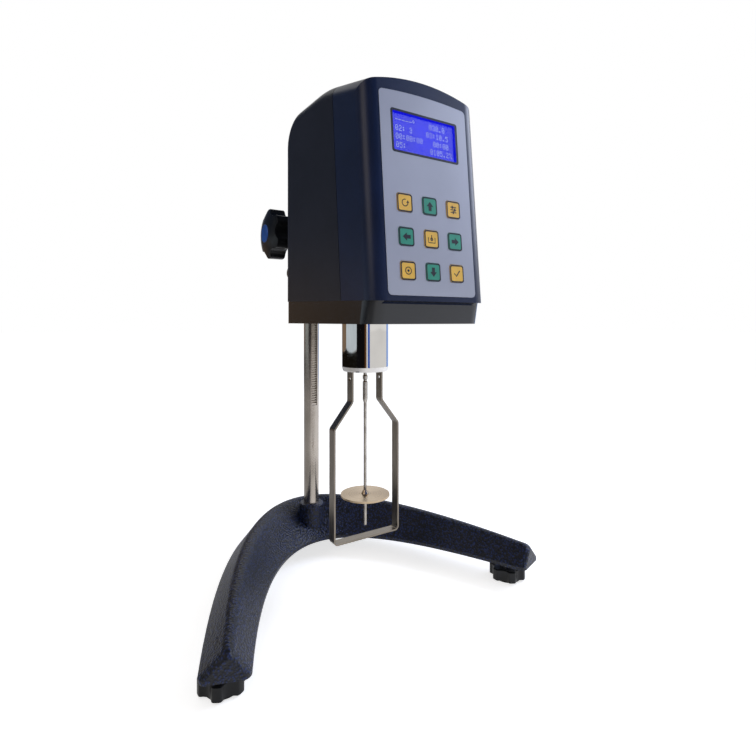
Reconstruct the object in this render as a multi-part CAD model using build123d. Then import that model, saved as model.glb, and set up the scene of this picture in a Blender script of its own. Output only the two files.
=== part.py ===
from build123d import *
import math
import os

# Rotational viscometer: a cast arch base on three levelling feet, a rack column, and a
# measuring head on a pinion-driven lift block, with a disc spindle inside its guard.
# Millimetres. Working frame: column axis at X = Y = 0, floor at Z = 0, operator towards -Y.
# The last step moves everything so that the origin is the centre of the footprint.

# ---------------------------------------------------------------- clearances
RUNNING = 0.05        # radial, shaft in bearing
SLIDING = 0.10        # radial, column guide and loose bores
FREE = 0.30           # between faces that pass each other
THREAD_GAP = 0.10     # radial, plain stud in a plain hole standing for a thread
SCREW_HEAD_BEVEL = 0.35   # share of a screw head's height

# ---------------------------------------------------------------- base casting
BASE_LOW = 20.0           # underside above the floor
RIDGE_TOP = 54.0          # ridge height at the column
RIDGE_REAR = 24.0         # ridge line y = RIDGE_REAR - x^2 / RIDGE_CURVE
RIDGE_CURVE = 101.0
OUTER_REAR = 64.0         # outer lower edge y = OUTER_REAR - x^2 / OUTER_CURVE
OUTER_CURVE = 110.0
INNER_REAR = -22.0        # inner lower edge y = INNER_REAR - x^2 / INNER_CURVE
INNER_CURVE = 103.0
ARM_STATIONS = 16
NOSE_X = 141.0            # ridge station where the arm's rounded nose starts
NOSE_FALL = 14.0          # ridge drop from the column to NOSE_X
NOSE_ROUND = 6.0          # radius of the nose, rounded in flat steps
NOSE_STEPS = 4
NOSE_TURN = 75.0          # degrees turned by the steps, before the flat end
SKIRT = 3.0               # upright edge round the casting's foot
CREST_ROUND = 9.0         # crest radius, shrinking with the arm
BOSS_RADIUS = 13.0
BOSS_TOP = 55.0
BOSS_FILLET = 2.0

# ---------------------------------------------------------------- levelling feet
FOOT_X = 139.0
FOOT_Y = -152.8
REAR_FOOT_Y = 38.0
FOOT_KNOB_RADIUS = 17.0
FOOT_KNOB_LOW = 2.0
FOOT_KNOB_TOP = 12.5
FOOT_LOBES = 6
FOOT_LOBE_ROUND = 2.2
KNOB_BEVEL = 0.9
STUD_BEVEL = 1.0
FOOT_PAD_RADIUS = 12.0
FOOT_PAD_HIGH = 1.7
PAD_STEM_RADIUS = 3.0
PAD_STEM_TOP = 7.0
COLLAR_RADIUS = 7.5
COLLAR_TOP = 19.0
STUD_RADIUS = 4.0
STUD_TOP = 31.0
FOOT_HOLE_TOP = 35.0

# ---------------------------------------------------------------- column and rack
COLUMN_RADIUS = 8.0
COLUMN_SEAT = 34.0
COLUMN_TOP = 430.0
COLUMN_CHAMFER = 1.0
MODULE = 0.8
PRESSURE_ANGLE = 20.0
RACK_ADDENDUM = 0.64
GEAR_ADDENDUM = 0.80
DEDENDUM = 1.00
BACKLASH = 0.12
RACK_SLOT_WIDTH = 6.5
RACK_TIP_DEPTH = 1.76     # rack tips below the column's surface line
RACK_LOW = 161.0
RACK_HIGH = COLUMN_TOP - 6.0
BOLT_RADIUS = 4.0
BOLT_POCKET_RADIUS = 9.0
BOLT_POCKET_TOP = 28.0
BOLT_HEAD_FLATS = 13.0
BOLT_HEAD_HIGH = 5.3
BOLT_END = 60.0
WASHER_HIGH = 1.6
WASHER_RADIUS = 8.0

# ---------------------------------------------------------------- lift block and knob
PINION_TEETH = 14
PINION_Z = 340.0
PINION_WIDTH = 5.6
PINION_SHAFT_RADIUS = 3.0
BLOCK_LOW = 290.0
BLOCK_HIGH = 352.0
BLOCK_HALF_WIDTH = 20.0
BLOCK_REAR_RADIUS = 15.0
BLOCK_FRONT_Y = -40.0
BLOCK_ROUND = 3.0
COLUMN_BUSH_RADIUS = 10.0
LOWER_BUSH_HIGH = 8.0
UPPER_BUSH_HIGH = 3.0
PINION_BUSH_RADIUS = 6.0
PINION_BUSH_START = 7.0   # inner end of each pinion bush from the mid plane
PINION_BORE_LEFT = 3.0    # wall left at the blind end of the pinion's bore
SHAFT_SHORT = 2.0         # shaft's end inside the knob, short of its rim
LIFT_BOSS_END = 24.0      # outer end of the pinion boss from the mid plane
LIFT_BOSS_RADIUS = 11.0
LIFT_KNOB_RADIUS = 25.0
LIFT_KNOB_BACK = 37.0     # rim's inner face, distance from the mid plane
LIFT_KNOB_RIM = 15.0
LIFT_KNOB_DOME = 5.5
LIFT_HUB_RADIUS = 14.0
KNOB_CAP_RADIUS = 9.0
KNOB_CAP_HIGH = 1.6
ROD_Z = 301.0
ROD_RADIUS = 8.0
ROD_END_Y = -12.0
THUMB_Y = -18.0
THUMB_RADIUS = 5.5
THUMB_START = 24.0
THUMB_LONG = 10.0
THUMB_STEM_RADIUS = 3.0

# ---------------------------------------------------------------- measuring head shells
HEAD_HALF_WIDTH = 54.0
HEAD_REAR_Y = -57.0       # rear side edge; the middle of the rear wall bulges by CROWN
HEAD_TOP = 447.5          # crown line, flat part
CROWN = 9.0               # rise of the crown above the side edges
CROWN_REAR_RADIUS = 36.0
CROWN_FRONT_Y = -136.0    # where the crown line starts to fall
CROWN_FRONT_RADIUS = 120.0
CROWN_FALL = 13.8         # degrees
HEAD_CORNER = 12.0
WALL = 3.0
SHELL_LOW_FRONT = 266.0
SHELL_LOW_REAR = 270.0
PANEL_LEAN = 4.93         # degrees, top leaning back
PANEL_Y = -210.7          # panel plane at PANEL_Z
PANEL_Z = 270.0
SEAM_DEPTH = 45.0         # split between bezel and rear shell, behind the panel plane
SEAM_LINE_WIDE = 0.6      # shadow line where the two shells meet
SEAM_LINE_DEEP = 0.4
LIP_LONG = 3.0
LIP_WALL = 1.4
PAN_TOP = 273.0           # bottom cover before its sloping edge is cut
PAN_RIM = 2.0             # how far its rim stands up inside the shells
PAN_WALL = 2.5
PAN_INSET = 0.5           # cover's sides inside the shells' faces
PAN_LOW_FRONT = 8.0       # cover's front face behind the panel plane, at its lower edge
PAN_TOP_FRONT = 1.6
PAN_INSIDE = 5.0          # cover's hollow inside the shells' faces
HEAD_LOW = 249.5
COVER_SCREW_X = 41.0
COVER_SCREW_FRONT_Y = -188.0
COVER_SCREW_REAR_Y = -84.0
COVER_BOSS_RADIUS = 5.0
COVER_BOSS_TOP = 263.8
COVER_BRIDGE_LOW = 273.0  # web from boss to shell wall, above the cover's rim
COVER_SCREW_SEAT = HEAD_LOW + 3.0
COVER_SCREW_RADIUS = 1.5
COVER_SCREW_HEAD = 3.0
COVER_SCREW_HIGH = 2.0
COVER_SCREW_WELL = 3.4

# ---------------------------------------------------------------- front panel
PANEL_HALF_WIDTH = 41.0
PANEL_HIGH = 149.8
PANEL_CORNER = 3.5
PANEL_RISE = 2.3
OVERLAY_THICK = 1.0
OVERLAY_PROUD = 0.3
LCD_LOW = 106.2
LCD_HIGH = 136.2
LCD_WIDTH = 60.3
KEY_SIZE = 13.4
KEY_CORNER = 2.0
KEY_PITCH_X = 23.0
KEY_ROWS = (18.0, 42.8, 67.8)
KEY_TRAVEL = 0.5
KEY_PROUD = 0.7
KEY_BACK = WALL + 1.6     # underside of the key's flange behind the panel plane
KEY_STEM_END = WALL + 3.0  # depth of the key's stem, facing its switch
KEY_STEM_RADIUS = 1.8
BOARD_FRONT = WALL + 5.6
WINDOW_FRONT = 0.75       # window's front face behind the panel plane
WINDOW_THICK = 1.2
CELL_EDGE = 0.8           # display cell beyond the visible area, each side
GLASS_EDGE = 3.0
GLASS_THICK = 2.0
CASE_EDGE = 5.0
CASE_THICK = 3.6
BOARD_THICK = 1.6
BOARD_SPACE = 4.0         # main board in front of the back plate

# ---------------------------------------------------------------- measuring system
SPINDLE_Y = -112.4
DISC_RADIUS = 22.0
DISC_Z = 94.7
DISC_THICK = 1.6
DISC_HUB_RADIUS = 3.4
DISC_HUB_HIGH = 3.2
SHAFT_RADIUS = 1.4
STUB_RADIUS = 1.7
STUB_LOW = 68.0
COUPLING_LOW = 178.5
COUPLING_HIGH = 212.0
COUPLING_RADIUS = 2.2
NECK_RADIUS = 1.5
SLEEVE_RADIUS = 20.75
SLEEVE_LOW = 207.0
SLEEVE_WALL = 1.6
SLEEVE_LIP = 4.0
GUARD_HALF_WIDTH = 33.9
GUARD_NECK = 16.0
GUARD_LOW = 57.5
GUARD_SHOULDER = 158.0
GUARD_THROAT = 180.5
GUARD_TOP = 222.0
GUARD_THICK = 1.5
GUARD_WIDTH = 9.0
GUARD_CORNER = 4.0
GUARD_HOLE_Z = 200.5
GUARD_HOLE_RADIUS = 1.6
GUARD_SCREW_Z = 215.0
GUARD_SCREW_RADIUS = 1.15
GUARD_SCREW_HEAD = 2.4
GUARD_SCREW_HIGH = 1.6
GUARD_SCREW_LONG = 5.5
DECK_Z = 276.0
DECK_THICK = 3.0
DECK_HALF_WIDTH = 45.0
DECK_FRONT_Y = -194.0
BACK_PLATE_Y = -74.0
BACK_PLATE_TOP = 396.0
BACK_PLATE_HALF_WIDTH = 35.0
DECK_CORNER = 6.0
CABLE_WINDOW_HALF = 25.0
CABLE_WINDOW_LOW = 356.0
CABLE_WINDOW_HIGH = 384.0
FLANGE_SIZE = 32.0         # square flange of the handle rod, on the back plate
FLANGE_CORNER = 5.0
FLANGE_THICK = 5.0
FLANGE_SCREW_AT = 11.0
FLANGE_SCREW_RADIUS = 2.0
FLANGE_SCREW_HEAD = 3.5
FLANGE_SCREW_HIGH = 2.4
FLANGE_SCREW_LONG = 9.5
HOUSING_RADIUS = GUARD_NECK - GUARD_THICK
HOUSING_LOW = 210.0
HOUSING_FLANGE = 22.0
HOUSING_FLANGE_THICK = 3.5
HOUSING_FLAT = 8.0         # half width of the flats that the guard's legs lie on
HUB_CLEAR = 1.2            # radial, hub in the housing
LOWER_BEARING_LOW = 236.0
BEARING_SINK = 3.0         # upper bearing below the deck's top face
GUARD_TAP_RADIUS = 1.25
GUARD_TAP_DEEP = 4.5
HUB_RADIUS = 7.5
HUB_BORE = 4.0
HUB_LOW = 232.0
BEARING_RADIUS = 11.0
BEARING_HIGH = 5.0
DRIVE_TEETH = 60
MOTOR_PINION_TEETH = 15
GEAR_Z = 287.0
GEAR_THICK = 4.0
GEAR_SHOULDER = 2.0        # hub's shoulder above and below the gear
SHOULDER_RADIUS = 9.0
GEAR_HOLE_RADIUS = 4.2
SPRING_POST_RADIUS = 1.0
HAIRSPRING_Z = 297.0
HAIRSPRING_TURNS = 3
HAIRSPRING_THICK = 0.4
HAIRSPRING_HIGH = 1.2
COLLET_RADIUS = 3.8
COLLET_HIGH = 2.4
SPRING_POST_AT = 15.0      # radius of the post that holds the hairspring's outer end
SPRING_POST_ANGLE = math.radians(36)
ENCODER_Z = 305.0
ENCODER_RADIUS = 19.0
ENCODER_SLOTS = 24
ENCODER_THICK = 0.8
ENCODER_HUB_RADIUS = 4.0
ENCODER_HUB_HIGH = 3.0
ENCODER_SLOT_LONG = 3.2
ENCODER_SLOT_WIDE = 1.2
TOP_PLATE_Z = 318.0
TOP_PLATE_HALF = 36.0
PLATE_THICK = 3.0
MOTOR_RADIUS = 18.0
MOTOR_HIGH = 26.0
MOTOR_SHAFT_RADIUS = 1.5
MOTOR_TAB_HALF = 24.0
MOTOR_TAB_WIDE = 10.0
MOTOR_TAB_THICK = 1.2
MOTOR_BEVEL = 1.5
PLATE_CORNER = 5.0
POST_RADIUS = 3.0
BOARD_POST_RADIUS = 2.5
BOARD_POST_X = 30.0
BOARD_POSTS_Z = (350.0, 388.0)
MEASURE_RADIUS = 1.5
PIVOT_RADIUS = 0.75
VIAL_Y = -114.0
VIAL_RADIUS = 9.0
VIAL_RING = 2.5
VIAL_DEEP = 8.0
JACK_X = 32.0
JACK_Z = 280.0
JACK_RADIUS = 5.4
JACK_FLANGE = 7.5
JACK_BORE = 3.3
JACK_PIN = 1.0
ROCKER_Z = 306.0
ROCKER_PIVOT = 1.5        # pivot depth behind the rear face
ROCKER_TILT = 8.0         # degrees to each side
SWITCH_HALF_X = 7.0
SWITCH_HALF_Z = 10.0
SWITCH_WALL = 1.5
SWITCH_RIM = 1.5
ROCKER_PIN_RADIUS = 1.2

LEAN = math.radians(PANEL_LEAN)
PANEL = Plane(
    origin=(0, PANEL_Y, PANEL_Z),
    x_dir=(1, 0, 0),
    z_dir=(0, -math.cos(LEAN), math.sin(LEAN)),
)
RACK_PITCH = math.pi * MODULE
PINION_PITCH_RADIUS = MODULE * PINION_TEETH / 2
RACK_TIP_Y = -COLUMN_RADIUS + RACK_TIP_DEPTH
RACK_PITCH_Y = RACK_TIP_Y + RACK_ADDENDUM
PINION_Y = RACK_PITCH_Y - PINION_PITCH_RADIUS
GEAR_CENTRES = MODULE * (DRIVE_TEETH + MOTOR_PINION_TEETH) / 2
MOTOR_Y = SPINDLE_Y - GEAR_CENTRES

nodes = {}


# ---------------------------------------------------------------- small helpers
def post(radius, low, high, x=0.0, y=0.0):
    """Upright cylinder."""
    return Pos(x, y, (low + high) / 2) * Cylinder(radius, high - low)


def bar_x(radius, start, end, y, z):
    """Cylinder along X."""
    return Pos((start + end) / 2, y, z) * Rot(0, 90, 0) * Cylinder(radius, abs(end - start))


def bar_y(radius, start, end, x, z):
    """Cylinder along Y."""
    return Pos(x, (start + end) / 2, z) * Rot(90, 0, 0) * Cylinder(radius, abs(end - start))


def block(x0, x1, y0, y1, z0, z1):
    """Rectangular body between two corners."""
    return Pos((x0 + x1) / 2, (y0 + y1) / 2, (z0 + z1) / 2) * Box(x1 - x0, y1 - y0, z1 - z0)


def turned(points, x=0.0, y=0.0):
    """Body turned about an upright axis from (radius, z) points."""
    profile = Plane.XZ * make_face(Polyline(*points, close=True))
    return Pos(x, y, 0) * revolve(profile, axis=Axis.Z)


def crown_drop(x):
    """How far the crown has fallen at x from the middle."""
    radius = (HEAD_HALF_WIDTH**2 + CROWN**2) / (2 * CROWN)
    return radius - math.sqrt(radius**2 - x**2)


def panel_y(z, depth=0.0):
    """Y of the plane that lies depth behind the panel plane, at height z."""
    return PANEL_Y + (z - PANEL_Z) * math.tan(LEAN) + depth / math.cos(LEAN)


def star(radius, lobes, rounding):
    """Outline of a hand knob: a circle with a shallow scallop between lobes."""
    scallop = radius * 0.42
    away = radius * 1.22
    outline = Circle(radius) - PolarLocations(away, lobes, start_angle=180 / lobes) * Circle(scallop)
    return fillet(outline.vertices(), rounding)


def involute_tooth(teeth, addendum, thin):
    """Half tooth flank points (radius, half angle) of an involute gear."""
    pitch_radius = MODULE * teeth / 2
    alpha = math.radians(PRESSURE_ANGLE)
    base_radius = pitch_radius * math.cos(alpha)
    half = math.pi / (2 * teeth) - thin / (2 * pitch_radius)
    shift = math.tan(alpha) - alpha
    points = []
    root_radius = pitch_radius - DEDENDUM
    tip_radius = pitch_radius + addendum
    start = max(base_radius, root_radius)
    if start > root_radius:
        points.append((root_radius, half + shift))
    for share in (0.0, 0.35, 0.7, 1.0):
        radius = start + (tip_radius - start) * share
        roll = math.sqrt(max((radius / base_radius) ** 2 - 1, 0.0))
        points.append((radius, half + shift - (roll - math.atan(roll))))
    return points


def gear_outline(teeth, phase):
    """Spur gear outline, with a tooth centred at the angle phase (radians)."""
    flank = involute_tooth(teeth, GEAR_ADDENDUM, BACKLASH / 2)
    points = []
    for tooth in range(teeth):
        middle = phase + 2 * math.pi * tooth / teeth
        for radius, half in flank:
            points.append((radius * math.cos(middle - half), radius * math.sin(middle - half)))
        for radius, half in reversed(flank):
            points.append((radius * math.cos(middle + half), radius * math.sin(middle + half)))
    return make_face(Polyline(*points, close=True))


def screw(head_radius, head_high, shank_radius, shank_long):
    """Pan-head screw, head up, seated at the origin with its shank going down."""
    head = Pos(0, 0, head_high / 2) * Cylinder(head_radius, head_high)
    head = chamfer(head.edges().group_by(Axis.Z)[-1], head_high * SCREW_HEAD_BEVEL)
    return head + Pos(0, 0, -shank_long / 2) * Cylinder(shank_radius, shank_long)


# ---------------------------------------------------------------- base
def edge_offset(x, rear, curve):
    """Distance from the ridge, square to it, to a lower edge parabola."""
    slope = -2 * x / RIDGE_CURVE
    length = math.hypot(1, slope)
    ridge_y = RIDGE_REAR - x**2 / RIDGE_CURVE
    a = (slope / length) ** 2 / curve
    b = (1 - 2 * x * slope / curve) / length
    c = ridge_y - rear + x**2 / curve
    if a == 0:
        return -c / b
    return (-b + math.sqrt(b**2 - 4 * a * c)) / (2 * a)


def arch_section(x, inset=0.0):
    """Roof-shaped section of the casting, square to the ridge at x, with its slopes moved inwards."""
    slope = -2 * x / RIDGE_CURVE
    ridge_y = RIDGE_REAR - x**2 / RIDGE_CURVE
    plane = Plane(origin=(x, ridge_y, 0), x_dir=(-slope, 1, 0), z_dir=(1, slope, 0))
    outer = edge_offset(x, OUTER_REAR, OUTER_CURVE) - inset
    inner = edge_offset(x, INNER_REAR, INNER_CURVE) + inset
    ridge = RIDGE_TOP - NOSE_FALL * (x / NOSE_X) ** 3 - inset
    side = BASE_LOW + SKIRT
    rounding = CREST_ROUND * (ridge - BASE_LOW) / (RIDGE_TOP - BASE_LOW)
    pitch = (math.atan((ridge - side) / outer) + math.atan((side - ridge) / inner)) / 2
    apex = ridge + rounding * (1 / math.cos(pitch) - 1)
    face = make_face(
        Polyline((inner, BASE_LOW), (inner, side), (0, apex), (outer, side), (outer, BASE_LOW), close=True)
    )
    return plane * fillet(face.vertices().sort_by(Axis.Y)[-1], rounding)


def base_casting():
    half = loft([arch_section(NOSE_X * step / ARM_STATIONS) for step in range(ARM_STATIONS + 1)])
    slant = math.hypot(1, 2 * NOSE_X / RIDGE_CURVE)
    sections = []
    for step in range(NOSE_STEPS + 1):
        turn = math.radians(NOSE_TURN) * step / NOSE_STEPS
        ahead = NOSE_ROUND * math.sin(turn)
        sections.append(arch_section(NOSE_X + ahead / slant, NOSE_ROUND * (1 - math.cos(turn))))
    half = half + loft(sections, ruled=True)
    arch = half + mirror(half, Plane.YZ)
    boss = post(BOSS_RADIUS, BASE_LOW + 2, BOSS_TOP)
    boss = fillet(boss.edges().group_by(Axis.Z)[-1], BOSS_FILLET)
    arch = arch + boss
    arch = arch - post(COLUMN_RADIUS + SLIDING / 5, COLUMN_SEAT, BOSS_TOP + 1)
    arch = arch - post(BOLT_RADIUS + THREAD_GAP * 3, BASE_LOW - 1, COLUMN_SEAT + 1)
    arch = arch - post(BOLT_POCKET_RADIUS, BASE_LOW - 1, BOLT_POCKET_TOP)
    for x, y in FEET.values():
        arch = arch - post(STUD_RADIUS + THREAD_GAP, BASE_LOW - 1, FOOT_HOLE_TOP, x, y)
    return arch


FEET = {
    "left": (-FOOT_X, FOOT_Y),
    "right": (FOOT_X, FOOT_Y),
    "rear": (0.0, REAR_FOOT_Y),
}


def foot(name, x, y):
    pad = post(FOOT_PAD_RADIUS, 0, FOOT_PAD_HIGH, x, y)
    nodes[f"foot_pad_{name}"] = pad + post(PAD_STEM_RADIUS, FOOT_PAD_HIGH, PAD_STEM_TOP, x, y)
    knob = extrude(star(FOOT_KNOB_RADIUS, FOOT_LOBES, FOOT_LOBE_ROUND), amount=FOOT_KNOB_TOP - FOOT_KNOB_LOW)
    knob = chamfer(knob.faces().sort_by(Axis.Z)[-1].edges(), KNOB_BEVEL)
    knob = Pos(x, y, FOOT_KNOB_LOW) * knob
    knob = knob - post(PAD_STEM_RADIUS + RUNNING, 0, FOOT_KNOB_TOP + 1, x, y)
    knob = knob - post(STUD_RADIUS, PAD_STEM_TOP + FREE, FOOT_KNOB_TOP + 1, x, y)
    nodes[f"foot_knob_{name}"] = knob
    points = [
        (0, PAD_STEM_TOP + FREE),
        (STUD_RADIUS, PAD_STEM_TOP + FREE),
        (STUD_RADIUS, FOOT_KNOB_TOP),
        (COLLAR_RADIUS, FOOT_KNOB_TOP),
        (COLLAR_RADIUS, COLLAR_TOP - STUD_BEVEL),
        (COLLAR_RADIUS - STUD_BEVEL, COLLAR_TOP),
        (STUD_RADIUS, COLLAR_TOP),
        (STUD_RADIUS, STUD_TOP - STUD_BEVEL),
        (STUD_RADIUS - STUD_BEVEL, STUD_TOP),
        (0, STUD_TOP),
    ]
    nodes[f"foot_stud_{name}"] = turned(points, x, y)


# ---------------------------------------------------------------- column
def column():
    body = post(COLUMN_RADIUS, COLUMN_SEAT, COLUMN_TOP)
    body = chamfer(body.edges().group_by(Axis.Z)[-1], COLUMN_CHAMFER)
    half = RACK_SLOT_WIDTH / 2
    body = body - block(-half, half, -COLUMN_RADIUS - 1, RACK_TIP_Y, RACK_LOW, RACK_HIGH)
    body = body - post(BOLT_RADIUS, COLUMN_SEAT - 1, BOLT_END + 2)
    slope = math.tan(math.radians(PRESSURE_ANGLE))
    tip_gap = (RACK_PITCH / 2 + BACKLASH / 2) / 2 + RACK_ADDENDUM * slope
    root_gap = (RACK_PITCH / 2 + BACKLASH / 2) / 2 - DEDENDUM * slope
    tip_y = RACK_TIP_Y
    root_y = RACK_PITCH_Y + DEDENDUM
    first = math.ceil((RACK_LOW + tip_gap - PINION_Z) / RACK_PITCH)
    last = math.floor((RACK_HIGH - tip_gap - PINION_Z) / RACK_PITCH)
    points = [(tip_y - 0.5, RACK_LOW + 0.1)]
    for gap in range(first, last + 1):
        z = PINION_Z + gap * RACK_PITCH
        points += [(tip_y, z - tip_gap), (root_y, z - root_gap), (root_y, z + root_gap), (tip_y, z + tip_gap)]
    points.append((tip_y - 0.5, RACK_HIGH - 0.1))
    gaps = Plane.YZ * make_face(Polyline(*points, close=True))
    nodes["column"] = body - extrude(gaps, amount=half, both=True)
    washer_low = BOLT_POCKET_TOP - WASHER_HIGH
    head = extrude(RegularPolygon(BOLT_HEAD_FLATS / 2, 6, major_radius=False), amount=BOLT_HEAD_HIGH)
    bolt = Pos(0, 0, washer_low - BOLT_HEAD_HIGH) * head + post(BOLT_RADIUS, washer_low, BOLT_END)
    washer = post(WASHER_RADIUS, washer_low, BOLT_POCKET_TOP)
    washer = washer - post(BOLT_RADIUS + THREAD_GAP, washer_low - 1, BOLT_POCKET_TOP + 1)
    nodes["column_bolt"] = Compound(children=[bolt, washer])


# ---------------------------------------------------------------- lift block and knob
def lift_block():
    outline = Circle(BLOCK_REAR_RADIUS + 2) + Pos(0, BLOCK_FRONT_Y / 2) * Rectangle(
        2 * BLOCK_HALF_WIDTH, -BLOCK_FRONT_Y
    )
    body = Pos(0, 0, BLOCK_LOW) * extrude(outline, amount=BLOCK_HIGH - BLOCK_LOW)
    front = [edge for edge in body.edges().filter_by(Axis.Z) if edge.center().Y < BLOCK_FRONT_Y + 1]
    body = fillet(front, BLOCK_ROUND * 2)
    body = chamfer(body.faces().sort_by(Axis.Z)[-1].edges(), 1.2)
    body = body + bar_x(LIFT_BOSS_RADIUS, -LIFT_BOSS_END, 0, PINION_Y, PINION_Z)
    body = body + bar_x(LIFT_BOSS_RADIUS - 3, -LIFT_BOSS_END + 2, 0, THUMB_Y, ROD_Z)
    bore = COLUMN_RADIUS + FREE
    body = body - post(bore, BLOCK_LOW - 1, BLOCK_HIGH + 1)
    for low, high in column_bush_spans():
        body = body - post(COLUMN_BUSH_RADIUS, low - (1 if low == BLOCK_LOW else 0), high + 1)
    bore_end = BLOCK_HALF_WIDTH - PINION_BORE_LEFT
    body = body - bar_x(PINION_BUSH_RADIUS, -LIFT_BOSS_END - 1, bore_end, PINION_Y, PINION_Z)
    tip = PINION_PITCH_RADIUS + GEAR_ADDENDUM + FREE * 2
    body = body - bar_x(tip, -PINION_BUSH_START, PINION_BUSH_START, PINION_Y, PINION_Z)
    body = body - bar_y(ROD_RADIUS + SLIDING / 2, BLOCK_FRONT_Y - 1, ROD_END_Y + FREE, 0, ROD_Z)
    body = body - bar_x(THUMB_STEM_RADIUS + SLIDING / 2, -LIFT_BOSS_END - 1, 0, THUMB_Y, ROD_Z)
    nodes["lift_block"] = body
    bushes = [
        post(COLUMN_BUSH_RADIUS, low, high) - post(COLUMN_RADIUS + RUNNING, low - 1, high + 1)
        for low, high in column_bush_spans()
    ]
    for start, end in ((-LIFT_BOSS_END, -PINION_BUSH_START), (PINION_BUSH_START, bore_end)):
        ring = bar_x(PINION_BUSH_RADIUS, start, end, PINION_Y, PINION_Z)
        bushes.append(ring - bar_x(PINION_SHAFT_RADIUS + RUNNING, start - 1, end + 1, PINION_Y, PINION_Z))
    nodes["lift_bushes"] = Compound(children=bushes)


def column_bush_spans():
    """Guide bushes at the two ends of the lift block."""
    return ((BLOCK_LOW, BLOCK_LOW + LOWER_BUSH_HIGH), (BLOCK_HIGH - UPPER_BUSH_HIGH, BLOCK_HIGH))


def lift_knob():
    rim_end = LIFT_KNOB_BACK + LIFT_KNOB_RIM
    shaft_start = -rim_end + SHAFT_SHORT
    shaft_end = BLOCK_HALF_WIDTH - PINION_BORE_LEFT - 0.5
    shaft = bar_x(PINION_SHAFT_RADIUS, shaft_start, shaft_end, PINION_Y, PINION_Z)
    teeth = extrude(gear_outline(PINION_TEETH, 0.0), amount=PINION_WIDTH / 2, both=True)
    teeth = Pos(0, PINION_Y, PINION_Z) * Rot(0, 90, 0) * Rot(0, 0, 90) * teeth
    nodes["pinion_shaft"] = shaft + teeth
    body = extrude(star(LIFT_KNOB_RADIUS, 6, 3.5), amount=LIFT_KNOB_RIM + LIFT_KNOB_DOME)
    dome_radius = (LIFT_KNOB_RADIUS**2 + LIFT_KNOB_DOME**2) / (2 * LIFT_KNOB_DOME)
    dome = Pos(0, 0, LIFT_KNOB_RIM + LIFT_KNOB_DOME - dome_radius) * Sphere(dome_radius)
    body = body & dome
    body = chamfer(body.faces().sort_by(Axis.Z)[0].edges(), 1.0)
    body = body + Pos(0, 0, -(LIFT_KNOB_BACK - LIFT_BOSS_END - 1) / 2) * Cylinder(
        LIFT_HUB_RADIUS, LIFT_KNOB_BACK - LIFT_BOSS_END - 1
    )
    top = LIFT_KNOB_RIM + LIFT_KNOB_DOME
    body = body - Pos(0, 0, top) * Cylinder(KNOB_CAP_RADIUS, 2 * KNOB_CAP_HIGH)
    body = Rot(0, -90, 0) * body
    body = Pos(-LIFT_KNOB_BACK, PINION_Y, PINION_Z) * body
    body = body - bar_x(PINION_SHAFT_RADIUS, shaft_start, 0, PINION_Y, PINION_Z)
    nodes["lift_knob"] = body
    cap_end = rim_end + LIFT_KNOB_DOME
    cap = Pos(0, 0, KNOB_CAP_HIGH / 2) * Cylinder(KNOB_CAP_RADIUS, KNOB_CAP_HIGH)
    cap = chamfer(cap.edges().group_by(Axis.Z)[-1], 0.5)
    nodes["knob_cap"] = Pos(-cap_end + KNOB_CAP_HIGH, PINION_Y, PINION_Z) * Rot(0, -90, 0) * cap


def thumb_screw():
    start = -THUMB_START - FREE
    head = bar_x(THUMB_RADIUS, start - THUMB_LONG, start, THUMB_Y, ROD_Z)
    head = chamfer(head.edges().filter_by(GeomType.CIRCLE), 0.8)
    reach = math.sqrt(ROD_RADIUS**2 - THUMB_STEM_RADIUS**2) + FREE + 0.6
    nodes["thumb_screw"] = head + bar_x(THUMB_STEM_RADIUS, start, -reach, THUMB_Y, ROD_Z)


# ---------------------------------------------------------------- head shells
def head_form(inset, low_front, low_rear, rounded=False):
    """Closed form of the head with every face moved inwards by inset; its corners are flat or rounded."""
    half = HEAD_HALF_WIDTH - inset
    rear = HEAD_REAR_Y + CROWN - inset
    top = HEAD_TOP - inset
    side = Plane.YZ * make_face(
        Polyline(
            (rear + 2, low_rear),
            (rear + 2, top + 3),
            (panel_y(top + 3, inset), top + 3),
            (panel_y(low_front, inset), low_front),
            close=True,
        )
    )
    body = extrude(side, amount=half, both=True)
    start = low_rear - 40
    far = CROWN_FRONT_Y - 110
    path = FilletPolyline(
        (0, rear, start),
        (0, rear, top),
        (0, CROWN_FRONT_Y, top),
        (0, far, top + (far - CROWN_FRONT_Y) * math.tan(math.radians(CROWN_FALL))),
        radius=(CROWN_REAR_RADIUS - inset, CROWN_FRONT_RADIUS - inset),
    )
    reach = HEAD_HALF_WIDTH + 16
    edge = rear - crown_drop(reach)
    outline = ThreePointArc((-reach, edge), (0, rear), (reach, edge)) + Polyline(
        (reach, edge), (reach, rear + 30), (-reach, rear + 30), (-reach, edge)
    )
    outside = Pos(0, 0, start) * make_face(outline)
    body = body - sweep(outside, path=path)
    corners = [
        e for e in body.edges()
        if abs(abs(e.center().X) - half) < 0.05 and abs(e.center().Z - low_rear) > 8
    ]
    radius = HEAD_CORNER - inset
    if rounded:
        return fillet(corners, radius)
    return chamfer(corners, radius * (2 - math.sqrt(2)))


def bezel_side(depth):
    """Everything in front of the plane that lies depth behind the panel plane."""
    size = 400.0
    return PANEL * (Pos(0, size / 4, size / 2 - depth) * Box(size, size * 2, size))


def panel_plate(half, low, high, corner, rise, near, far):
    """Plate on the panel with rounded corners and a slightly arched top edge."""
    outline = Polyline((-half, high), (-half, low), (half, low), (half, high)) + ThreePointArc(
        (-half, high), (0, high + rise), (half, high)
    )
    face = make_face(outline)
    face = fillet(face.vertices(), corner)
    return PANEL * (Pos(0, 0, far) * extrude(face, amount=near - far))


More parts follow.
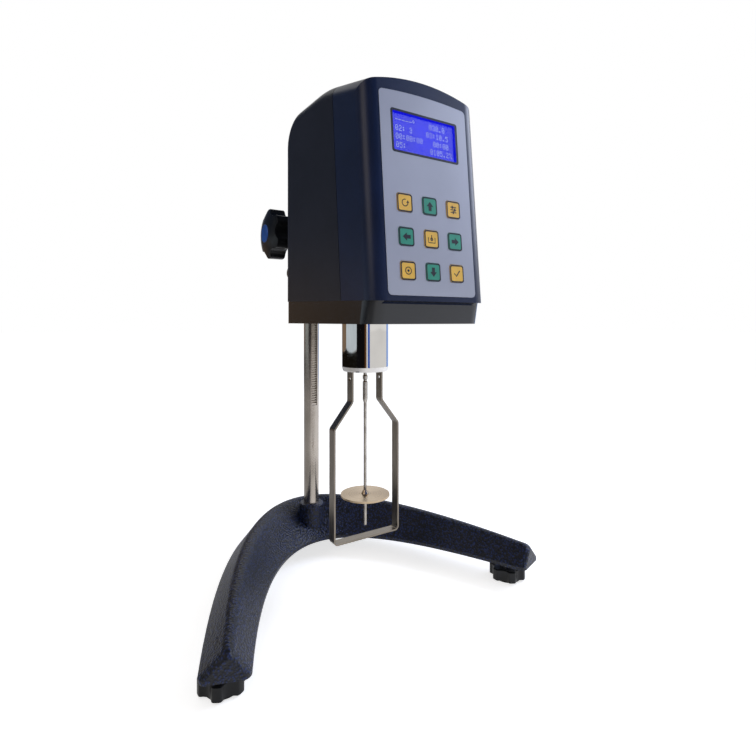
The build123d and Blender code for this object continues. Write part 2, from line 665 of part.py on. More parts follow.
def key_places():
    """Key centres on the panel; the lowest row has the same three columns."""
    places = []
    for row, up in enumerate(KEY_ROWS):
        for column_number in (-1, 0, 1):
            places.append((f"key_{row + 1}_{column_number + 2}", column_number * KEY_PITCH_X, up))
    return places


def display_block(edge, depth, thick):
    """Block behind the display's opening, edge wider than it on each side."""
    middle = (LCD_LOW + LCD_HIGH) / 2
    size = Box(LCD_WIDTH + 2 * edge, LCD_HIGH - LCD_LOW + 2 * edge, thick)
    return PANEL * (Pos(0, middle, -depth - thick / 2) * size)


def square_key(size, corner, low, high, x, up):
    face = RectangleRounded(size, size, corner)
    return PANEL * (Pos(x, up, low) * extrude(face, amount=high - low))


def cover_screw_places():
    ends = (COVER_SCREW_FRONT_Y, COVER_SCREW_REAR_Y)
    return [(x, y) for x in (-COVER_SCREW_X, COVER_SCREW_X) for y in ends]


def upright_block(half_x, half_z, y0, y1):
    """Block centred on the power switch."""
    return block(JACK_X - half_x, JACK_X + half_x, y0, y1, ROCKER_Z - half_z, ROCKER_Z + half_z)


def shells():
    outer = head_form(0.0, SHELL_LOW_FRONT, SHELL_LOW_REAR, rounded=True)
    cavity = head_form(WALL, SHELL_LOW_FRONT - 30, SHELL_LOW_REAR - 30)
    lip_space = head_form(LIP_WALL, SHELL_LOW_FRONT - 30, SHELL_LOW_REAR - 30)
    lip_outside = head_form(LIP_WALL + SLIDING, SHELL_LOW_FRONT - 30, SHELL_LOW_REAR - 30)

    def bosses(y):
        """Two bosses between the bottom cover and the deck, each on a web to its wall."""
        pair = None
        for side in (-1, 1):
            x = side * COVER_SCREW_X
            wall = side * (HEAD_HALF_WIDTH - WALL / 2)
            web = block(min(x, wall), max(x, wall), y - 3, y + 3, COVER_BRIDGE_LOW, DECK_Z)
            boss = web + post(COVER_BOSS_RADIUS, COVER_BOSS_TOP + FREE, DECK_Z, x, y)
            pair = boss if pair is None else pair + boss
        return pair

    under_line = head_form(SEAM_LINE_DEEP, SHELL_LOW_FRONT - 30, SHELL_LOW_REAR - 30, rounded=True)
    seam = bezel_side(SEAM_DEPTH + SEAM_LINE_WIDE / 2) - bezel_side(SEAM_DEPTH - SEAM_LINE_WIDE / 2)
    shell = outer - cavity - ((outer - under_line) & seam)
    front = shell & bezel_side(SEAM_DEPTH)
    lip = (lip_outside - cavity) & (bezel_side(SEAM_DEPTH + LIP_LONG) - bezel_side(SEAM_DEPTH - 1))
    lip = lip & outer
    front = front + lip
    recess = panel_plate(
        PANEL_HALF_WIDTH + SLIDING, -SLIDING, PANEL_HIGH + SLIDING, PANEL_CORNER, PANEL_RISE,
        2.0, OVERLAY_PROUD - OVERLAY_THICK,
    )
    front = front - recess
    half_lcd = LCD_WIDTH / 2 + 1.0
    lcd_hole = PANEL * (
        Pos(0, (LCD_LOW + LCD_HIGH) / 2, -WALL) * Box(2 * half_lcd, LCD_HIGH - LCD_LOW + 2, 4 * WALL)
    )
    front = front - lcd_hole
    for name, x, up in key_places():
        front = front - square_key(KEY_SIZE + 2 * FREE, KEY_CORNER, -2 * WALL, WALL, x, up)
    front = front + bosses(COVER_SCREW_FRONT_Y)
    rear = shell - bezel_side(SEAM_DEPTH)
    groove = (lip_space - cavity) & bezel_side(SEAM_DEPTH + LIP_LONG + FREE)
    rear = rear - groove
    rear = rear + bosses(COVER_SCREW_REAR_Y)
    rod_hole = ROD_RADIUS + 1.0
    rear = rear - bar_y(rod_hole, HEAD_REAR_Y - 10, HEAD_REAR_Y + CROWN + 2, 0, ROD_Z)
    rear = rear - post(VIAL_RADIUS + VIAL_RING - 1.0, HEAD_TOP - 20, HEAD_TOP + 5, 0, VIAL_Y)
    rear_face = HEAD_REAR_Y + CROWN - crown_drop(JACK_X)
    rear = rear - bar_y(JACK_RADIUS + SLIDING, rear_face - 8, rear_face + 5, JACK_X, JACK_Z)
    rear = rear - bar_y(JACK_FLANGE + FREE, rear_face, rear_face + 5, JACK_X, JACK_Z)
    hole_x, hole_z = SWITCH_HALF_X + SLIDING, SWITCH_HALF_Z + SLIDING
    rear = rear - upright_block(hole_x, hole_z, rear_face - 8, rear_face + 5)
    rim = SWITCH_RIM + FREE
    rear = rear - upright_block(SWITCH_HALF_X + rim, SWITCH_HALF_Z + rim, rear_face, rear_face + 5)
    for x, y in cover_screw_places():
        hole = post(COVER_SCREW_RADIUS + THREAD_GAP, COVER_BOSS_TOP, DECK_Z + 1, x, y)
        front = front - hole
        rear = rear - hole
    nodes["front_bezel"] = front
    nodes["rear_shell"] = rear


def pan_outline(inset, front_inset, z):
    """Plan outline of the bottom cover at height z, with the rear wall's bulge."""
    half = HEAD_HALF_WIDTH - inset
    near = panel_y(z, front_inset)
    rear = HEAD_REAR_Y + CROWN - inset
    side = rear - crown_drop(half)
    face = make_face(
        Polyline((-half, side), (-half, near), (half, near), (half, side))
        + ThreePointArc((-half, side), (0, rear), (half, side))
    )
    return Pos(0, 0, z) * fillet(face.vertices(), HEAD_CORNER)


def below_shells(raised):
    """Everything under the sloping lower edge of the shells, raised by this much."""
    front, rear = panel_y(SHELL_LOW_FRONT), HEAD_REAR_Y + CROWN + 2
    high_front, high_rear = SHELL_LOW_FRONT + raised, SHELL_LOW_REAR + raised
    side = make_face(Polyline((front, 0), (front, high_front), (rear, high_rear), (rear, 0), close=True))
    return extrude(Plane.YZ * side, amount=HEAD_HALF_WIDTH, both=True)


def bottom_cover():
    floor = HEAD_LOW + PAN_WALL
    in_shells = WALL + SLIDING
    body_low = pan_outline(PAN_INSET, PAN_LOW_FRONT, HEAD_LOW)
    body = loft([body_low, pan_outline(PAN_INSET, PAN_TOP_FRONT, PAN_TOP)])
    rim_low = pan_outline(in_shells, in_shells, SHELL_LOW_FRONT - PAN_RIM)
    rim = loft([rim_low, pan_outline(in_shells, in_shells, PAN_TOP)])
    inside_low = pan_outline(PAN_INSIDE, PAN_LOW_FRONT + PAN_WALL, floor)
    inside = loft([inside_low, pan_outline(PAN_INSIDE, PAN_INSIDE, PAN_TOP)])
    pan = (body & below_shells(0)) + (rim & below_shells(PAN_RIM)) - inside
    for x, y in cover_screw_places():
        pan = pan + post(COVER_BOSS_RADIUS, HEAD_LOW + 1, COVER_BOSS_TOP, x, y)
    for x, y in cover_screw_places():
        pan = pan - post(COVER_SCREW_RADIUS + FREE, HEAD_LOW - 1, COVER_BOSS_TOP + 1, x, y)
        pan = pan - post(COVER_SCREW_WELL, HEAD_LOW - 1, COVER_SCREW_SEAT, x, y)
    pan = pan - post(SLEEVE_RADIUS + SLIDING, HEAD_LOW - 1, floor + 1, 0, SPINDLE_Y)
    nodes["bottom_cover"] = pan
    shank = DECK_Z + DECK_THICK - FREE - COVER_SCREW_SEAT
    body = Rot(180, 0, 0) * screw(COVER_SCREW_HEAD, COVER_SCREW_HIGH, COVER_SCREW_RADIUS, shank)
    screws = [Pos(x, y, COVER_SCREW_SEAT) * body for x, y in cover_screw_places()]
    nodes["cover_screws"] = Compound(children=screws)


def front_panel():
    near = OVERLAY_PROUD
    far = OVERLAY_PROUD - OVERLAY_THICK
    plate = panel_plate(PANEL_HALF_WIDTH, 0, PANEL_HIGH, PANEL_CORNER, PANEL_RISE, near, far)
    middle = (LCD_LOW + LCD_HIGH) / 2
    window = PANEL * (Pos(0, middle, 0) * Box(LCD_WIDTH + 2.0, LCD_HIGH - LCD_LOW + 2.0, 6))
    plate = plate - window
    for name, x, up in key_places():
        plate = plate - square_key(KEY_SIZE + 2 * FREE, KEY_CORNER + FREE, -3, 3, x, up)
        cap = square_key(KEY_SIZE, KEY_CORNER, -WALL - FREE, KEY_PROUD, x, up)
        flange = square_key(KEY_SIZE + 3.0, KEY_CORNER, -KEY_BACK, -WALL - FREE, x, up)
        stem = Cylinder(KEY_STEM_RADIUS, KEY_STEM_END - KEY_BACK)
        stem = PANEL * (Pos(x, up, -(KEY_BACK + KEY_STEM_END) / 2) * stem)
        nodes[name] = cap + flange + stem
    nodes["panel_overlay"] = plate
    nodes["lcd_window"] = display_block(1.0 - SLIDING, WINDOW_FRONT, WINDOW_THICK)
    cell_front = WINDOW_FRONT + WINDOW_THICK
    glass_back = WALL + GLASS_THICK
    cell = display_block(CELL_EDGE, cell_front, WALL - cell_front + 0.1)
    glass = display_block(GLASS_EDGE, WALL, GLASS_THICK)
    case = display_block(CASE_EDGE, glass_back, CASE_THICK)
    nodes["lcd_module"] = cell + glass + case
    low = KEY_ROWS[0] - 12.0
    high = LCD_HIGH + 8.0
    board = PANEL * (
        Pos(0, (low + high) / 2, -BOARD_FRONT - BOARD_THICK / 2) * Box(76.0, high - low, BOARD_THICK)
    )
    switch_front = KEY_STEM_END + KEY_TRAVEL + 0.1
    for name, x, up in key_places():
        depth = (switch_front + BOARD_FRONT) / 2
        board = board + PANEL * (Pos(x, up, -depth) * Box(6.0, 6.0, BOARD_FRONT - switch_front))
    nodes["keypad_board"] = board


# ---------------------------------------------------------------- measuring system
def chassis():
    front_y, back_y = DECK_FRONT_Y, BACK_PLATE_Y
    deck = block(-DECK_HALF_WIDTH, DECK_HALF_WIDTH, front_y, back_y, DECK_Z, DECK_Z + DECK_THICK)
    plate = block(
        -BACK_PLATE_HALF_WIDTH, BACK_PLATE_HALF_WIDTH, back_y - DECK_THICK, back_y, DECK_Z, BACK_PLATE_TOP
    )
    body = deck + plate
    body = fillet(body.edges().filter_by(Axis.Z).group_by(Axis.Y)[0], DECK_CORNER)
    body = body - post(HOUSING_RADIUS + SLIDING, DECK_Z - 1, DECK_Z + DECK_THICK + 1, 0, SPINDLE_Y)
    screw_places = [
        (x, z)
        for x in (-FLANGE_SCREW_AT, FLANGE_SCREW_AT)
        for z in (ROD_Z - FLANGE_SCREW_AT, ROD_Z + FLANGE_SCREW_AT)
    ]
    hole_radius = FLANGE_SCREW_RADIUS + THREAD_GAP
    for x, z in screw_places:
        body = body - bar_y(hole_radius, back_y - DECK_THICK - 1, back_y + 1, x, z)
    for x, y in cover_screw_places():
        body = body - post(COVER_SCREW_RADIUS + THREAD_GAP, DECK_Z - 1, DECK_Z + DECK_THICK + 1, x, y)
    body = body - block(
        -CABLE_WINDOW_HALF, CABLE_WINDOW_HALF, back_y - DECK_THICK - 1, back_y + 1,
        CABLE_WINDOW_LOW, CABLE_WINDOW_HIGH,
    )
    nodes["chassis"] = body
    rod = bar_y(ROD_RADIUS, back_y + 1, ROD_END_Y, 0, ROD_Z)
    square = RectangleRounded(FLANGE_SIZE, FLANGE_SIZE, FLANGE_CORNER)
    flange = extrude(square, amount=FLANGE_THICK / 2, both=True)
    flange = Pos(0, back_y + FLANGE_THICK / 2, ROD_Z) * Rot(90, 0, 0) * flange
    rod = chamfer(rod.edges().group_by(Axis.Y)[-1], COLUMN_CHAMFER)
    rod = rod + flange
    screws = []
    for x, z in screw_places:
        rod = rod - bar_y(hole_radius, back_y - 1, back_y + FLANGE_THICK + 1, x, z)
        body = screw(FLANGE_SCREW_HEAD, FLANGE_SCREW_HIGH, FLANGE_SCREW_RADIUS, FLANGE_SCREW_LONG)
        screws.append(Pos(x, back_y + FLANGE_THICK, z) * Rot(-90, 0, 0) * body)
    nodes["handle_rod"] = rod
    nodes["flange_screws"] = Compound(children=screws)


def post_places():
    half = TOP_PLATE_HALF - 5
    return [(x, y) for x in (-half, half) for y in (MOTOR_Y - 14, BACK_PLATE_Y - 12)]


def measuring_system():
    y = SPINDLE_Y
    deck_top = DECK_Z + DECK_THICK
    bearing_spans = [(low, low + BEARING_HIGH) for low in (LOWER_BEARING_LOW, deck_top - BEARING_SINK)]
    housing = turned(
        [
            (HUB_RADIUS + HUB_CLEAR, HOUSING_LOW),
            (HOUSING_RADIUS, HOUSING_LOW),
            (HOUSING_RADIUS, deck_top),
            (HOUSING_FLANGE, deck_top),
            (HOUSING_FLANGE, deck_top + HOUSING_FLANGE_THICK),
            (HUB_RADIUS + HUB_CLEAR, deck_top + HOUSING_FLANGE_THICK),
        ],
        0, y,
    )
    for low, high in bearing_spans:
        end = high + 10 if high > DECK_Z else high
        housing = housing - post(BEARING_RADIUS, low, end, 0, y)
    for side in (-1, 1):
        housing = housing - bar_x(
            GUARD_TAP_RADIUS, side * (HOUSING_RADIUS - GUARD_TAP_DEEP), side * (HOUSING_RADIUS + 1),
            y, GUARD_SCREW_Z,
        )
        flat = block(
            min(side * HOUSING_RADIUS, side * (HOUSING_RADIUS + 5)),
            max(side * HOUSING_RADIUS, side * (HOUSING_RADIUS + 5)),
            y - HOUSING_FLAT, y + HOUSING_FLAT, HOUSING_LOW - 1, GUARD_TOP + 1,
        )
        housing = housing - flat
    nodes["bearing_housing"] = housing
    rings = [
        post(BEARING_RADIUS, low, high, 0, y) - post(HUB_RADIUS + RUNNING, low - 1, high + 1, 0, y)
        for low, high in bearing_spans
    ]
    nodes["main_bearings"] = Compound(children=rings)
    hub = turned(
        [
            (MEASURE_RADIUS + RUNNING, HUB_LOW),
            (HUB_RADIUS, HUB_LOW),
            (HUB_RADIUS, GEAR_Z - GEAR_SHOULDER),
            (SHOULDER_RADIUS, GEAR_Z - GEAR_SHOULDER),
            (SHOULDER_RADIUS, GEAR_Z + GEAR_THICK + GEAR_SHOULDER),
            (HUB_BORE, GEAR_Z + GEAR_THICK + GEAR_SHOULDER),
            (HUB_BORE, HUB_LOW + 4),
            (MEASURE_RADIUS + RUNNING, HUB_LOW + 4),
        ],
        0, y,
    )
    gear = extrude(gear_outline(DRIVE_TEETH, -math.pi / 2), amount=GEAR_THICK)
    gear = Pos(0, y, GEAR_Z) * (gear - Cylinder(HUB_RADIUS, 20))
    for place in PolarLocations(SPRING_POST_AT, 5, start_angle=math.degrees(SPRING_POST_ANGLE) + 36):
        gear = gear - Pos(0, y, GEAR_Z) * place * Cylinder(GEAR_HOLE_RADIUS, 20)
    post_x = SPRING_POST_AT * math.cos(SPRING_POST_ANGLE)
    post_y = SPRING_POST_AT * math.sin(SPRING_POST_ANGLE)
    spring_post = post(SPRING_POST_RADIUS, GEAR_Z + 1, HAIRSPRING_Z + 2, post_x, y + post_y)
    nodes["drive_gear"] = hub + gear + spring_post
    phase = math.pi / 2 + math.pi / MOTOR_PINION_TEETH
    pinion = extrude(gear_outline(MOTOR_PINION_TEETH, phase), amount=GEAR_THICK + 1)
    pinion = Pos(0, MOTOR_Y, GEAR_Z - 0.5) * pinion
    top = TOP_PLATE_Z + PLATE_THICK
    nodes["motor_pinion"] = pinion + post(MOTOR_SHAFT_RADIUS, GEAR_Z, top + 4, 0, MOTOR_Y)
    near = MOTOR_Y - 20
    plate = block(-TOP_PLATE_HALF, TOP_PLATE_HALF, near, BACK_PLATE_Y - 6, TOP_PLATE_Z, top)
    plate = fillet(plate.edges().filter_by(Axis.Z), PLATE_CORNER)
    plate = plate - post(PIVOT_RADIUS + RUNNING, TOP_PLATE_Z - 1, top + 1, 0, y)
    plate = plate - post(4.0, TOP_PLATE_Z - 1, top + 1, 0, MOTOR_Y)
    nodes["top_plate"] = plate
    board_y = BACK_PLATE_Y - DECK_THICK - BOARD_SPACE
    posts = [post(POST_RADIUS, deck_top, TOP_PLATE_Z, px, py) for px, py in post_places()]
    for x in (-BOARD_POST_X, BOARD_POST_X):
        for z in BOARD_POSTS_Z:
            posts.append(bar_y(BOARD_POST_RADIUS, BACK_PLATE_Y - DECK_THICK, board_y, x, z))
    nodes["standoffs"] = Compound(children=posts)
    motor = post(MOTOR_RADIUS, top, top + MOTOR_HIGH, 0, MOTOR_Y)
    motor = chamfer(motor.edges().group_by(Axis.Z)[-1], MOTOR_BEVEL)
    half_tab = MOTOR_TAB_WIDE / 2
    motor = motor + block(
        -MOTOR_TAB_HALF, MOTOR_TAB_HALF, MOTOR_Y - half_tab, MOTOR_Y + half_tab, top, top + MOTOR_TAB_THICK
    )
    nodes["drive_motor"] = motor - post(MOTOR_SHAFT_RADIUS + RUNNING, top - 1, top + 6, 0, MOTOR_Y)
    shaft = turned(
        [
            (0, COUPLING_HIGH),
            (MEASURE_RADIUS, COUPLING_HIGH),
            (MEASURE_RADIUS, TOP_PLATE_Z - 1),
            (PIVOT_RADIUS, TOP_PLATE_Z - 0.5),
            (PIVOT_RADIUS, top - 0.5),
            (0, top),
        ],
        0, y,
    )
    nodes["measuring_shaft"] = shaft
    disc = post(ENCODER_RADIUS, ENCODER_Z, ENCODER_Z + ENCODER_THICK, 0, y)
    disc = disc + post(ENCODER_HUB_RADIUS, ENCODER_Z - ENCODER_HUB_HIGH, ENCODER_Z, 0, y)
    slot = Box(ENCODER_SLOT_LONG, ENCODER_SLOT_WIDE, 10)
    for place in PolarLocations(ENCODER_RADIUS - ENCODER_HUB_HIGH, ENCODER_SLOTS):
        disc = disc - Pos(0, y, ENCODER_Z) * place * slot
    nodes["encoder_disc"] = disc - post(MEASURE_RADIUS, ENCODER_Z - 4, ENCODER_Z + 2, 0, y)
    nodes["hairspring"] = hairspring(y)


def hairspring(y):
    """Flat spiral strip from a collet on the shaft to the post on the gear."""
    turns = HAIRSPRING_TURNS
    inner = COLLET_RADIUS - 0.2
    outer = SPRING_POST_AT - SPRING_POST_RADIUS - HAIRSPRING_THICK - 0.2
    steps = 12 * turns

    def ring(extra):
        points = []
        for step in range(steps + 1):
            share = step / steps
            angle = 2 * math.pi * turns * share + SPRING_POST_ANGLE
            radius = inner + (outer - inner) * share + extra
            points.append((radius * math.cos(angle), radius * math.sin(angle)))
        return points

    strip = ring(HAIRSPRING_THICK) + list(reversed(ring(0.0)))
    face = make_face(Polyline(*strip, close=True))
    spiral = Pos(0, y, HAIRSPRING_Z) * extrude(face, amount=HAIRSPRING_HIGH)
    collet_low = HAIRSPRING_Z - (COLLET_HIGH - HAIRSPRING_HIGH) / 2
    collet = post(COLLET_RADIUS, collet_low, collet_low + COLLET_HIGH, 0, y)
    collet = collet - post(MEASURE_RADIUS, HAIRSPRING_Z - 2, HAIRSPRING_Z + 3, 0, y)
    return spiral + collet


def spindle():
    y = SPINDLE_Y
    nodes["spindle_coupling"] = turned(
        [
            (0, COUPLING_LOW),
            (SHAFT_RADIUS + 0.1, COUPLING_LOW),
            (COUPLING_RADIUS, COUPLING_LOW + 2.5),
            (COUPLING_RADIUS, 197.0),
            (NECK_RADIUS, 197.8),
            (NECK_RADIUS, 198.8),
            (COUPLING_RADIUS, 199.6),
            (COUPLING_RADIUS, 202.5),
            (NECK_RADIUS, 203.5),
            (NECK_RADIUS, 205.0),
            (COUPLING_RADIUS + 0.6, 206.0),
            (COUPLING_RADIUS + 0.6, COUPLING_HIGH),
            (0, COUPLING_HIGH),
        ],
        0, y,
    )
    nodes["spindle_shaft"] = turned(
        [
            (0, STUB_LOW),
            (STUB_RADIUS - 0.5, STUB_LOW),
            (STUB_RADIUS, STUB_LOW + 0.5),
            (STUB_RADIUS, DISC_Z),
            (SHAFT_RADIUS, DISC_Z),
            (SHAFT_RADIUS, COUPLING_LOW),
            (0, COUPLING_LOW),
        ],
        0, y,
    )
    nodes["spindle_disc"] = turned(
        [
            (SHAFT_RADIUS, DISC_Z),
            (DISC_RADIUS, DISC_Z),
            (DISC_RADIUS, DISC_Z + DISC_THICK),
            (DISC_HUB_RADIUS, DISC_Z + DISC_THICK),
            (SHAFT_RADIUS + 0.5, DISC_Z + DISC_THICK + DISC_HUB_HIGH),
            (SHAFT_RADIUS, DISC_Z + DISC_THICK + DISC_HUB_HIGH),
        ],
        0, y,
    )


def sleeve_and_guard():
    y = SPINDLE_Y
    inner = SLEEVE_RADIUS - SLEEVE_WALL
    sleeve = turned(
        [
            (inner, SLEEVE_LOW),
            (SLEEVE_RADIUS - 1.2, SLEEVE_LOW),
            (SLEEVE_RADIUS - 0.6, SLEEVE_LOW + 1.0),
            (SLEEVE_RADIUS, SLEEVE_LOW + SLEEVE_LIP),
            (SLEEVE_RADIUS, HEAD_LOW + PAN_WALL),
            (SLEEVE_RADIUS + 3.0, HEAD_LOW + PAN_WALL),
            (SLEEVE_RADIUS + 3.0, HEAD_LOW + PAN_WALL + 2.0),
            (inner, HEAD_LOW + PAN_WALL + 2.0),
        ],
        0, y,
    )
    nodes["chrome_sleeve"] = sleeve
    half = GUARD_HALF_WIDTH
    outline = make_face(
        Polyline(
            (-GUARD_NECK, GUARD_TOP),
            (-GUARD_NECK, GUARD_THROAT),
            (-half, GUARD_SHOULDER),
            (-half, GUARD_LOW),
            (half, GUARD_LOW),
            (half, GUARD_SHOULDER),
            (GUARD_NECK, GUARD_THROAT),
            (GUARD_NECK, GUARD_TOP),
            close=True,
        )
    )
    bends = [vertex for vertex in outline.vertices() if vertex.Y < GUARD_TOP - 1]
    outline = fillet(bends, GUARD_CORNER)
    inside = offset(outline, -GUARD_THICK)
    mouth = Pos(0, GUARD_TOP) * Rectangle(2 * (GUARD_NECK - GUARD_THICK), 4 * GUARD_THICK)
    strip = outline - inside - mouth
    guard = Pos(0, y, 0) * extrude(Plane.XZ * strip, amount=GUARD_WIDTH / 2, both=True)
    guard = guard - bar_x(GUARD_HOLE_RADIUS, -GUARD_NECK - 1, GUARD_NECK + 1, y, GUARD_HOLE_Z)
    screw_hole = GUARD_SCREW_RADIUS + THREAD_GAP * 2.5
    guard = guard - bar_x(screw_hole, -GUARD_NECK - 1, GUARD_NECK + 1, y, GUARD_SCREW_Z)
    nodes["guard"] = guard
    screws = []
    for side in (-1, 1):
        body = screw(GUARD_SCREW_HEAD, GUARD_SCREW_HIGH, GUARD_SCREW_RADIUS, GUARD_SCREW_LONG)
        screws.append(Pos(side * GUARD_NECK, y, GUARD_SCREW_Z) * Rot(0, 90 * side, 0) * body)
    nodes["guard_screws"] = Compound(children=screws)


# ---------------------------------------------------------------- fittings on the shells
def fittings():
    ring_radius = VIAL_RADIUS + VIAL_RING
    low = HEAD_TOP - VIAL_DEEP
    ring = turned(
        [
            (VIAL_RADIUS, low),
            (ring_radius - 1.0 - SLIDING, low),
            (ring_radius - 1.0 - SLIDING, HEAD_TOP + 0.3),
            (ring_radius, HEAD_TOP + 0.3),
            (ring_radius - 0.5, HEAD_TOP + 1.5),
            (VIAL_RADIUS, HEAD_TOP + 1.5),
        ],
        0, VIAL_Y,
    )
    nodes["level_ring"] = ring
    nodes["level_vial"] = post(VIAL_RADIUS, low, HEAD_TOP + 1.0, 0, VIAL_Y)
    face = HEAD_REAR_Y + CROWN - crown_drop(JACK_X)
    jack = bar_y(JACK_RADIUS, face - 12, face, JACK_X, JACK_Z)
    jack = jack + bar_y(JACK_FLANGE, face, face + 1.6, JACK_X, JACK_Z)
    jack = jack - bar_y(JACK_BORE, face - 8, face + 4, JACK_X, JACK_Z)
    nodes["power_jack"] = jack + bar_y(JACK_PIN, face - 9, face + 0.5, JACK_X, JACK_Z)
    housing = upright_block(SWITCH_HALF_X, SWITCH_HALF_Z, face - 12, face)
    rim_x, rim_z = SWITCH_HALF_X + SWITCH_RIM, SWITCH_HALF_Z + SWITCH_RIM
    housing = housing + upright_block(rim_x, rim_z, face, face + 1.6)
    well = upright_block(SWITCH_HALF_X - SWITCH_WALL, SWITCH_HALF_Z - SWITCH_WALL, face - 9, face + 5)
    pin_y = face - ROCKER_PIVOT
    housing = housing - well
    hole_radius = ROCKER_PIN_RADIUS + RUNNING
    pin_hole = bar_x(hole_radius, JACK_X - SWITCH_HALF_X, JACK_X + SWITCH_HALF_X, pin_y, ROCKER_Z)
    nodes["switch_housing"] = housing - pin_hole
    half = SWITCH_HALF_Z - SWITCH_WALL - 0.9
    rocker_face = make_face(
        Polyline(
            (face, -half), (face + 3.6, -half), (face + 2.0, 0.0), (face + 3.6, half), (face, half),
            (face - 5.0, 3.0), (face - 5.0, -3.0), close=True,
        )
    )
    rocker = extrude(Plane.YZ * rocker_face, amount=SWITCH_HALF_X - SWITCH_WALL - 0.2, both=True)
    pin_end = SWITCH_HALF_X - SLIDING
    rocker = rocker + bar_x(ROCKER_PIN_RADIUS, -pin_end, pin_end, pin_y, 0)
    pivot = Pos(0, pin_y, 0)
    rocker = pivot * Rot(-ROCKER_TILT, 0, 0) * pivot.inverse() * rocker
    nodes["power_rocker"] = Pos(JACK_X, 0, ROCKER_Z) * rocker
    board_y = BACK_PLATE_Y - DECK_THICK - BOARD_SPACE
    board = block(-34, 34, board_y - 1.6, board_y, 346, 392)
    chips = [
        block(-20, -6, board_y - 3.6, board_y - 1.6, 360, 374),
        block(6, 22, board_y - 5.6, board_y - 1.6, 356, 366),
        block(-28, 26, board_y - 8.6, board_y - 1.6, 382, 388),
    ]
    for chip in chips:
        board = board + chip
    nodes["main_board"] = board


# ---------------------------------------------------------------- build
nodes["base_casting"] = base_casting()
for place, (foot_x, foot_y) in FEET.items():
    foot(place, foot_x, foot_y)
column()
lift_block()
lift_knob()
thumb_screw()
shells()
bottom_cover()
front_panel()
chassis()
measuring_system()
spindle()
sleeve_and_guard()
fittings()

# Rearmost edge of the casting and foremost edge of the bezel give the footprint's centre.
ORIGIN_Y = (OUTER_REAR + panel_y(SHELL_LOW_FRONT)) / 2
os.makedirs("parts", exist_ok=True)
for name, shape in nodes.items():
    export_step(Pos(0, -ORIGIN_Y, 0) * shape, os.path.join("parts", f"{name}.step"))
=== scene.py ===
"""Finishes, prints and small fittings of a bench viscometer, made round its CAD frame.

Everything is in metres, in the frame of the CAD model: origin in the middle of the footprint on
the bench, Z up along the column, the operator at -Y.
"""

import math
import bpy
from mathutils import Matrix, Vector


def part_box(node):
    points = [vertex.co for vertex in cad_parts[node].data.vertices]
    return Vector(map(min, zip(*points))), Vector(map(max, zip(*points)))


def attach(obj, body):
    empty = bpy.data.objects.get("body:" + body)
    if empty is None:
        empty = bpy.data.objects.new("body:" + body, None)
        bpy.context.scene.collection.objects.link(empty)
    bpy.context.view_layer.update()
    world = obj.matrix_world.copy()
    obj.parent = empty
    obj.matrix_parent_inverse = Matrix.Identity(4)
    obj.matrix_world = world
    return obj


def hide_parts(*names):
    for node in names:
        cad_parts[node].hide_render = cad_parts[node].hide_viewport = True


bl_info = {
    "name": "Bench Viscometer",
    "version": (1, 0, 0),
    "blender": (4, 5, 0),
    "location": "3D View > Sidebar > Viscometer",
    "description": "Finishes, prints and small fittings of a bench viscometer on its CAD frame",
    "category": "Object",
}

import bmesh
import bpy
from bpy.props import FloatProperty, FloatVectorProperty, PointerProperty, StringProperty
from mathutils import Matrix, Vector

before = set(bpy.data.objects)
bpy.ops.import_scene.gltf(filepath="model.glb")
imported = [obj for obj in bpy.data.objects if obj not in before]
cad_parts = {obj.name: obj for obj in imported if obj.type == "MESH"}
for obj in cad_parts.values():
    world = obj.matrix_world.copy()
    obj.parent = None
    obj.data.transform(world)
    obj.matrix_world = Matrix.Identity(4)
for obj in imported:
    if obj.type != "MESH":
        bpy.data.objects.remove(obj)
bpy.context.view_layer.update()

MM = 0.001


# ---------------------------------------------------------------- colours and nodes
def linear(hex_colour):
    """Linear RGBA of an sRGB hex colour."""
    channels = [int(hex_colour[start:start + 2], 16) / 255 for start in (1, 3, 5)]
    return tuple(c / 12.92 if c <= 0.04045 else ((c + 0.055) / 1.055) ** 2.4 for c in channels) + (1.0,)


def add(tree, kind, sockets=None, stops=(), **options):
    """Adds one node with its options, its values and its links; stops are a colour ramp's places."""
    node = tree.nodes.new("ShaderNode" + kind)
    for option, value in options.items():
        setattr(node, option, value)
    for number, (place, value) in enumerate(stops):
        elements = node.color_ramp.elements
        element = elements[number] if number < len(elements) else elements.new(place)
        element.position = place
        element.color = value
    for socket, value in (sockets or {}).items():
        if isinstance(value, bpy.types.NodeSocket):
            tree.links.new(value, node.inputs[socket])
        else:
            node.inputs[socket].default_value = value
    return node


def new_tree(name):
    """Node tree of a new, empty material."""
    material = bpy.data.materials.new(name)
    material.use_nodes = True
    material.node_tree.nodes.clear()
    return material, material.node_tree


def close(tree, sockets):
    """Principled shader with these sockets, wired to the material's output."""
    shader = add(tree, "BsdfPrincipled", sockets)
    add(tree, "OutputMaterial", {"Surface": shader.outputs["BSDF"]})


def per(size_mm):
    """Texture scale that gives a pattern of this size in millimetres."""
    return 1 / (size_mm * MM)


def spot_of(tree):
    """Where a point lies on its object, in metres."""
    return add(tree, "TexCoord").outputs["Object"]


def stretched(tree, place, scale):
    """The same place with its axes scaled."""
    return add(tree, "Mapping", {"Vector": place, "Scale": scale}).outputs["Vector"]


def noise(tree, place, size_mm, detail=2.0):
    """Noise of a size in millimetres, from 0 to 1."""
    return add(tree, "TexNoise", {"Vector": place, "Scale": per(size_mm), "Detail": detail}).outputs["Fac"]


def ramp(tree, value, low, high, start=0.3, end=0.7):
    """Colour that runs from one tone to another as a value grows."""
    return add(tree, "ValToRGB", {"Fac": value}, stops=((start, low), (end, high))).outputs["Color"]


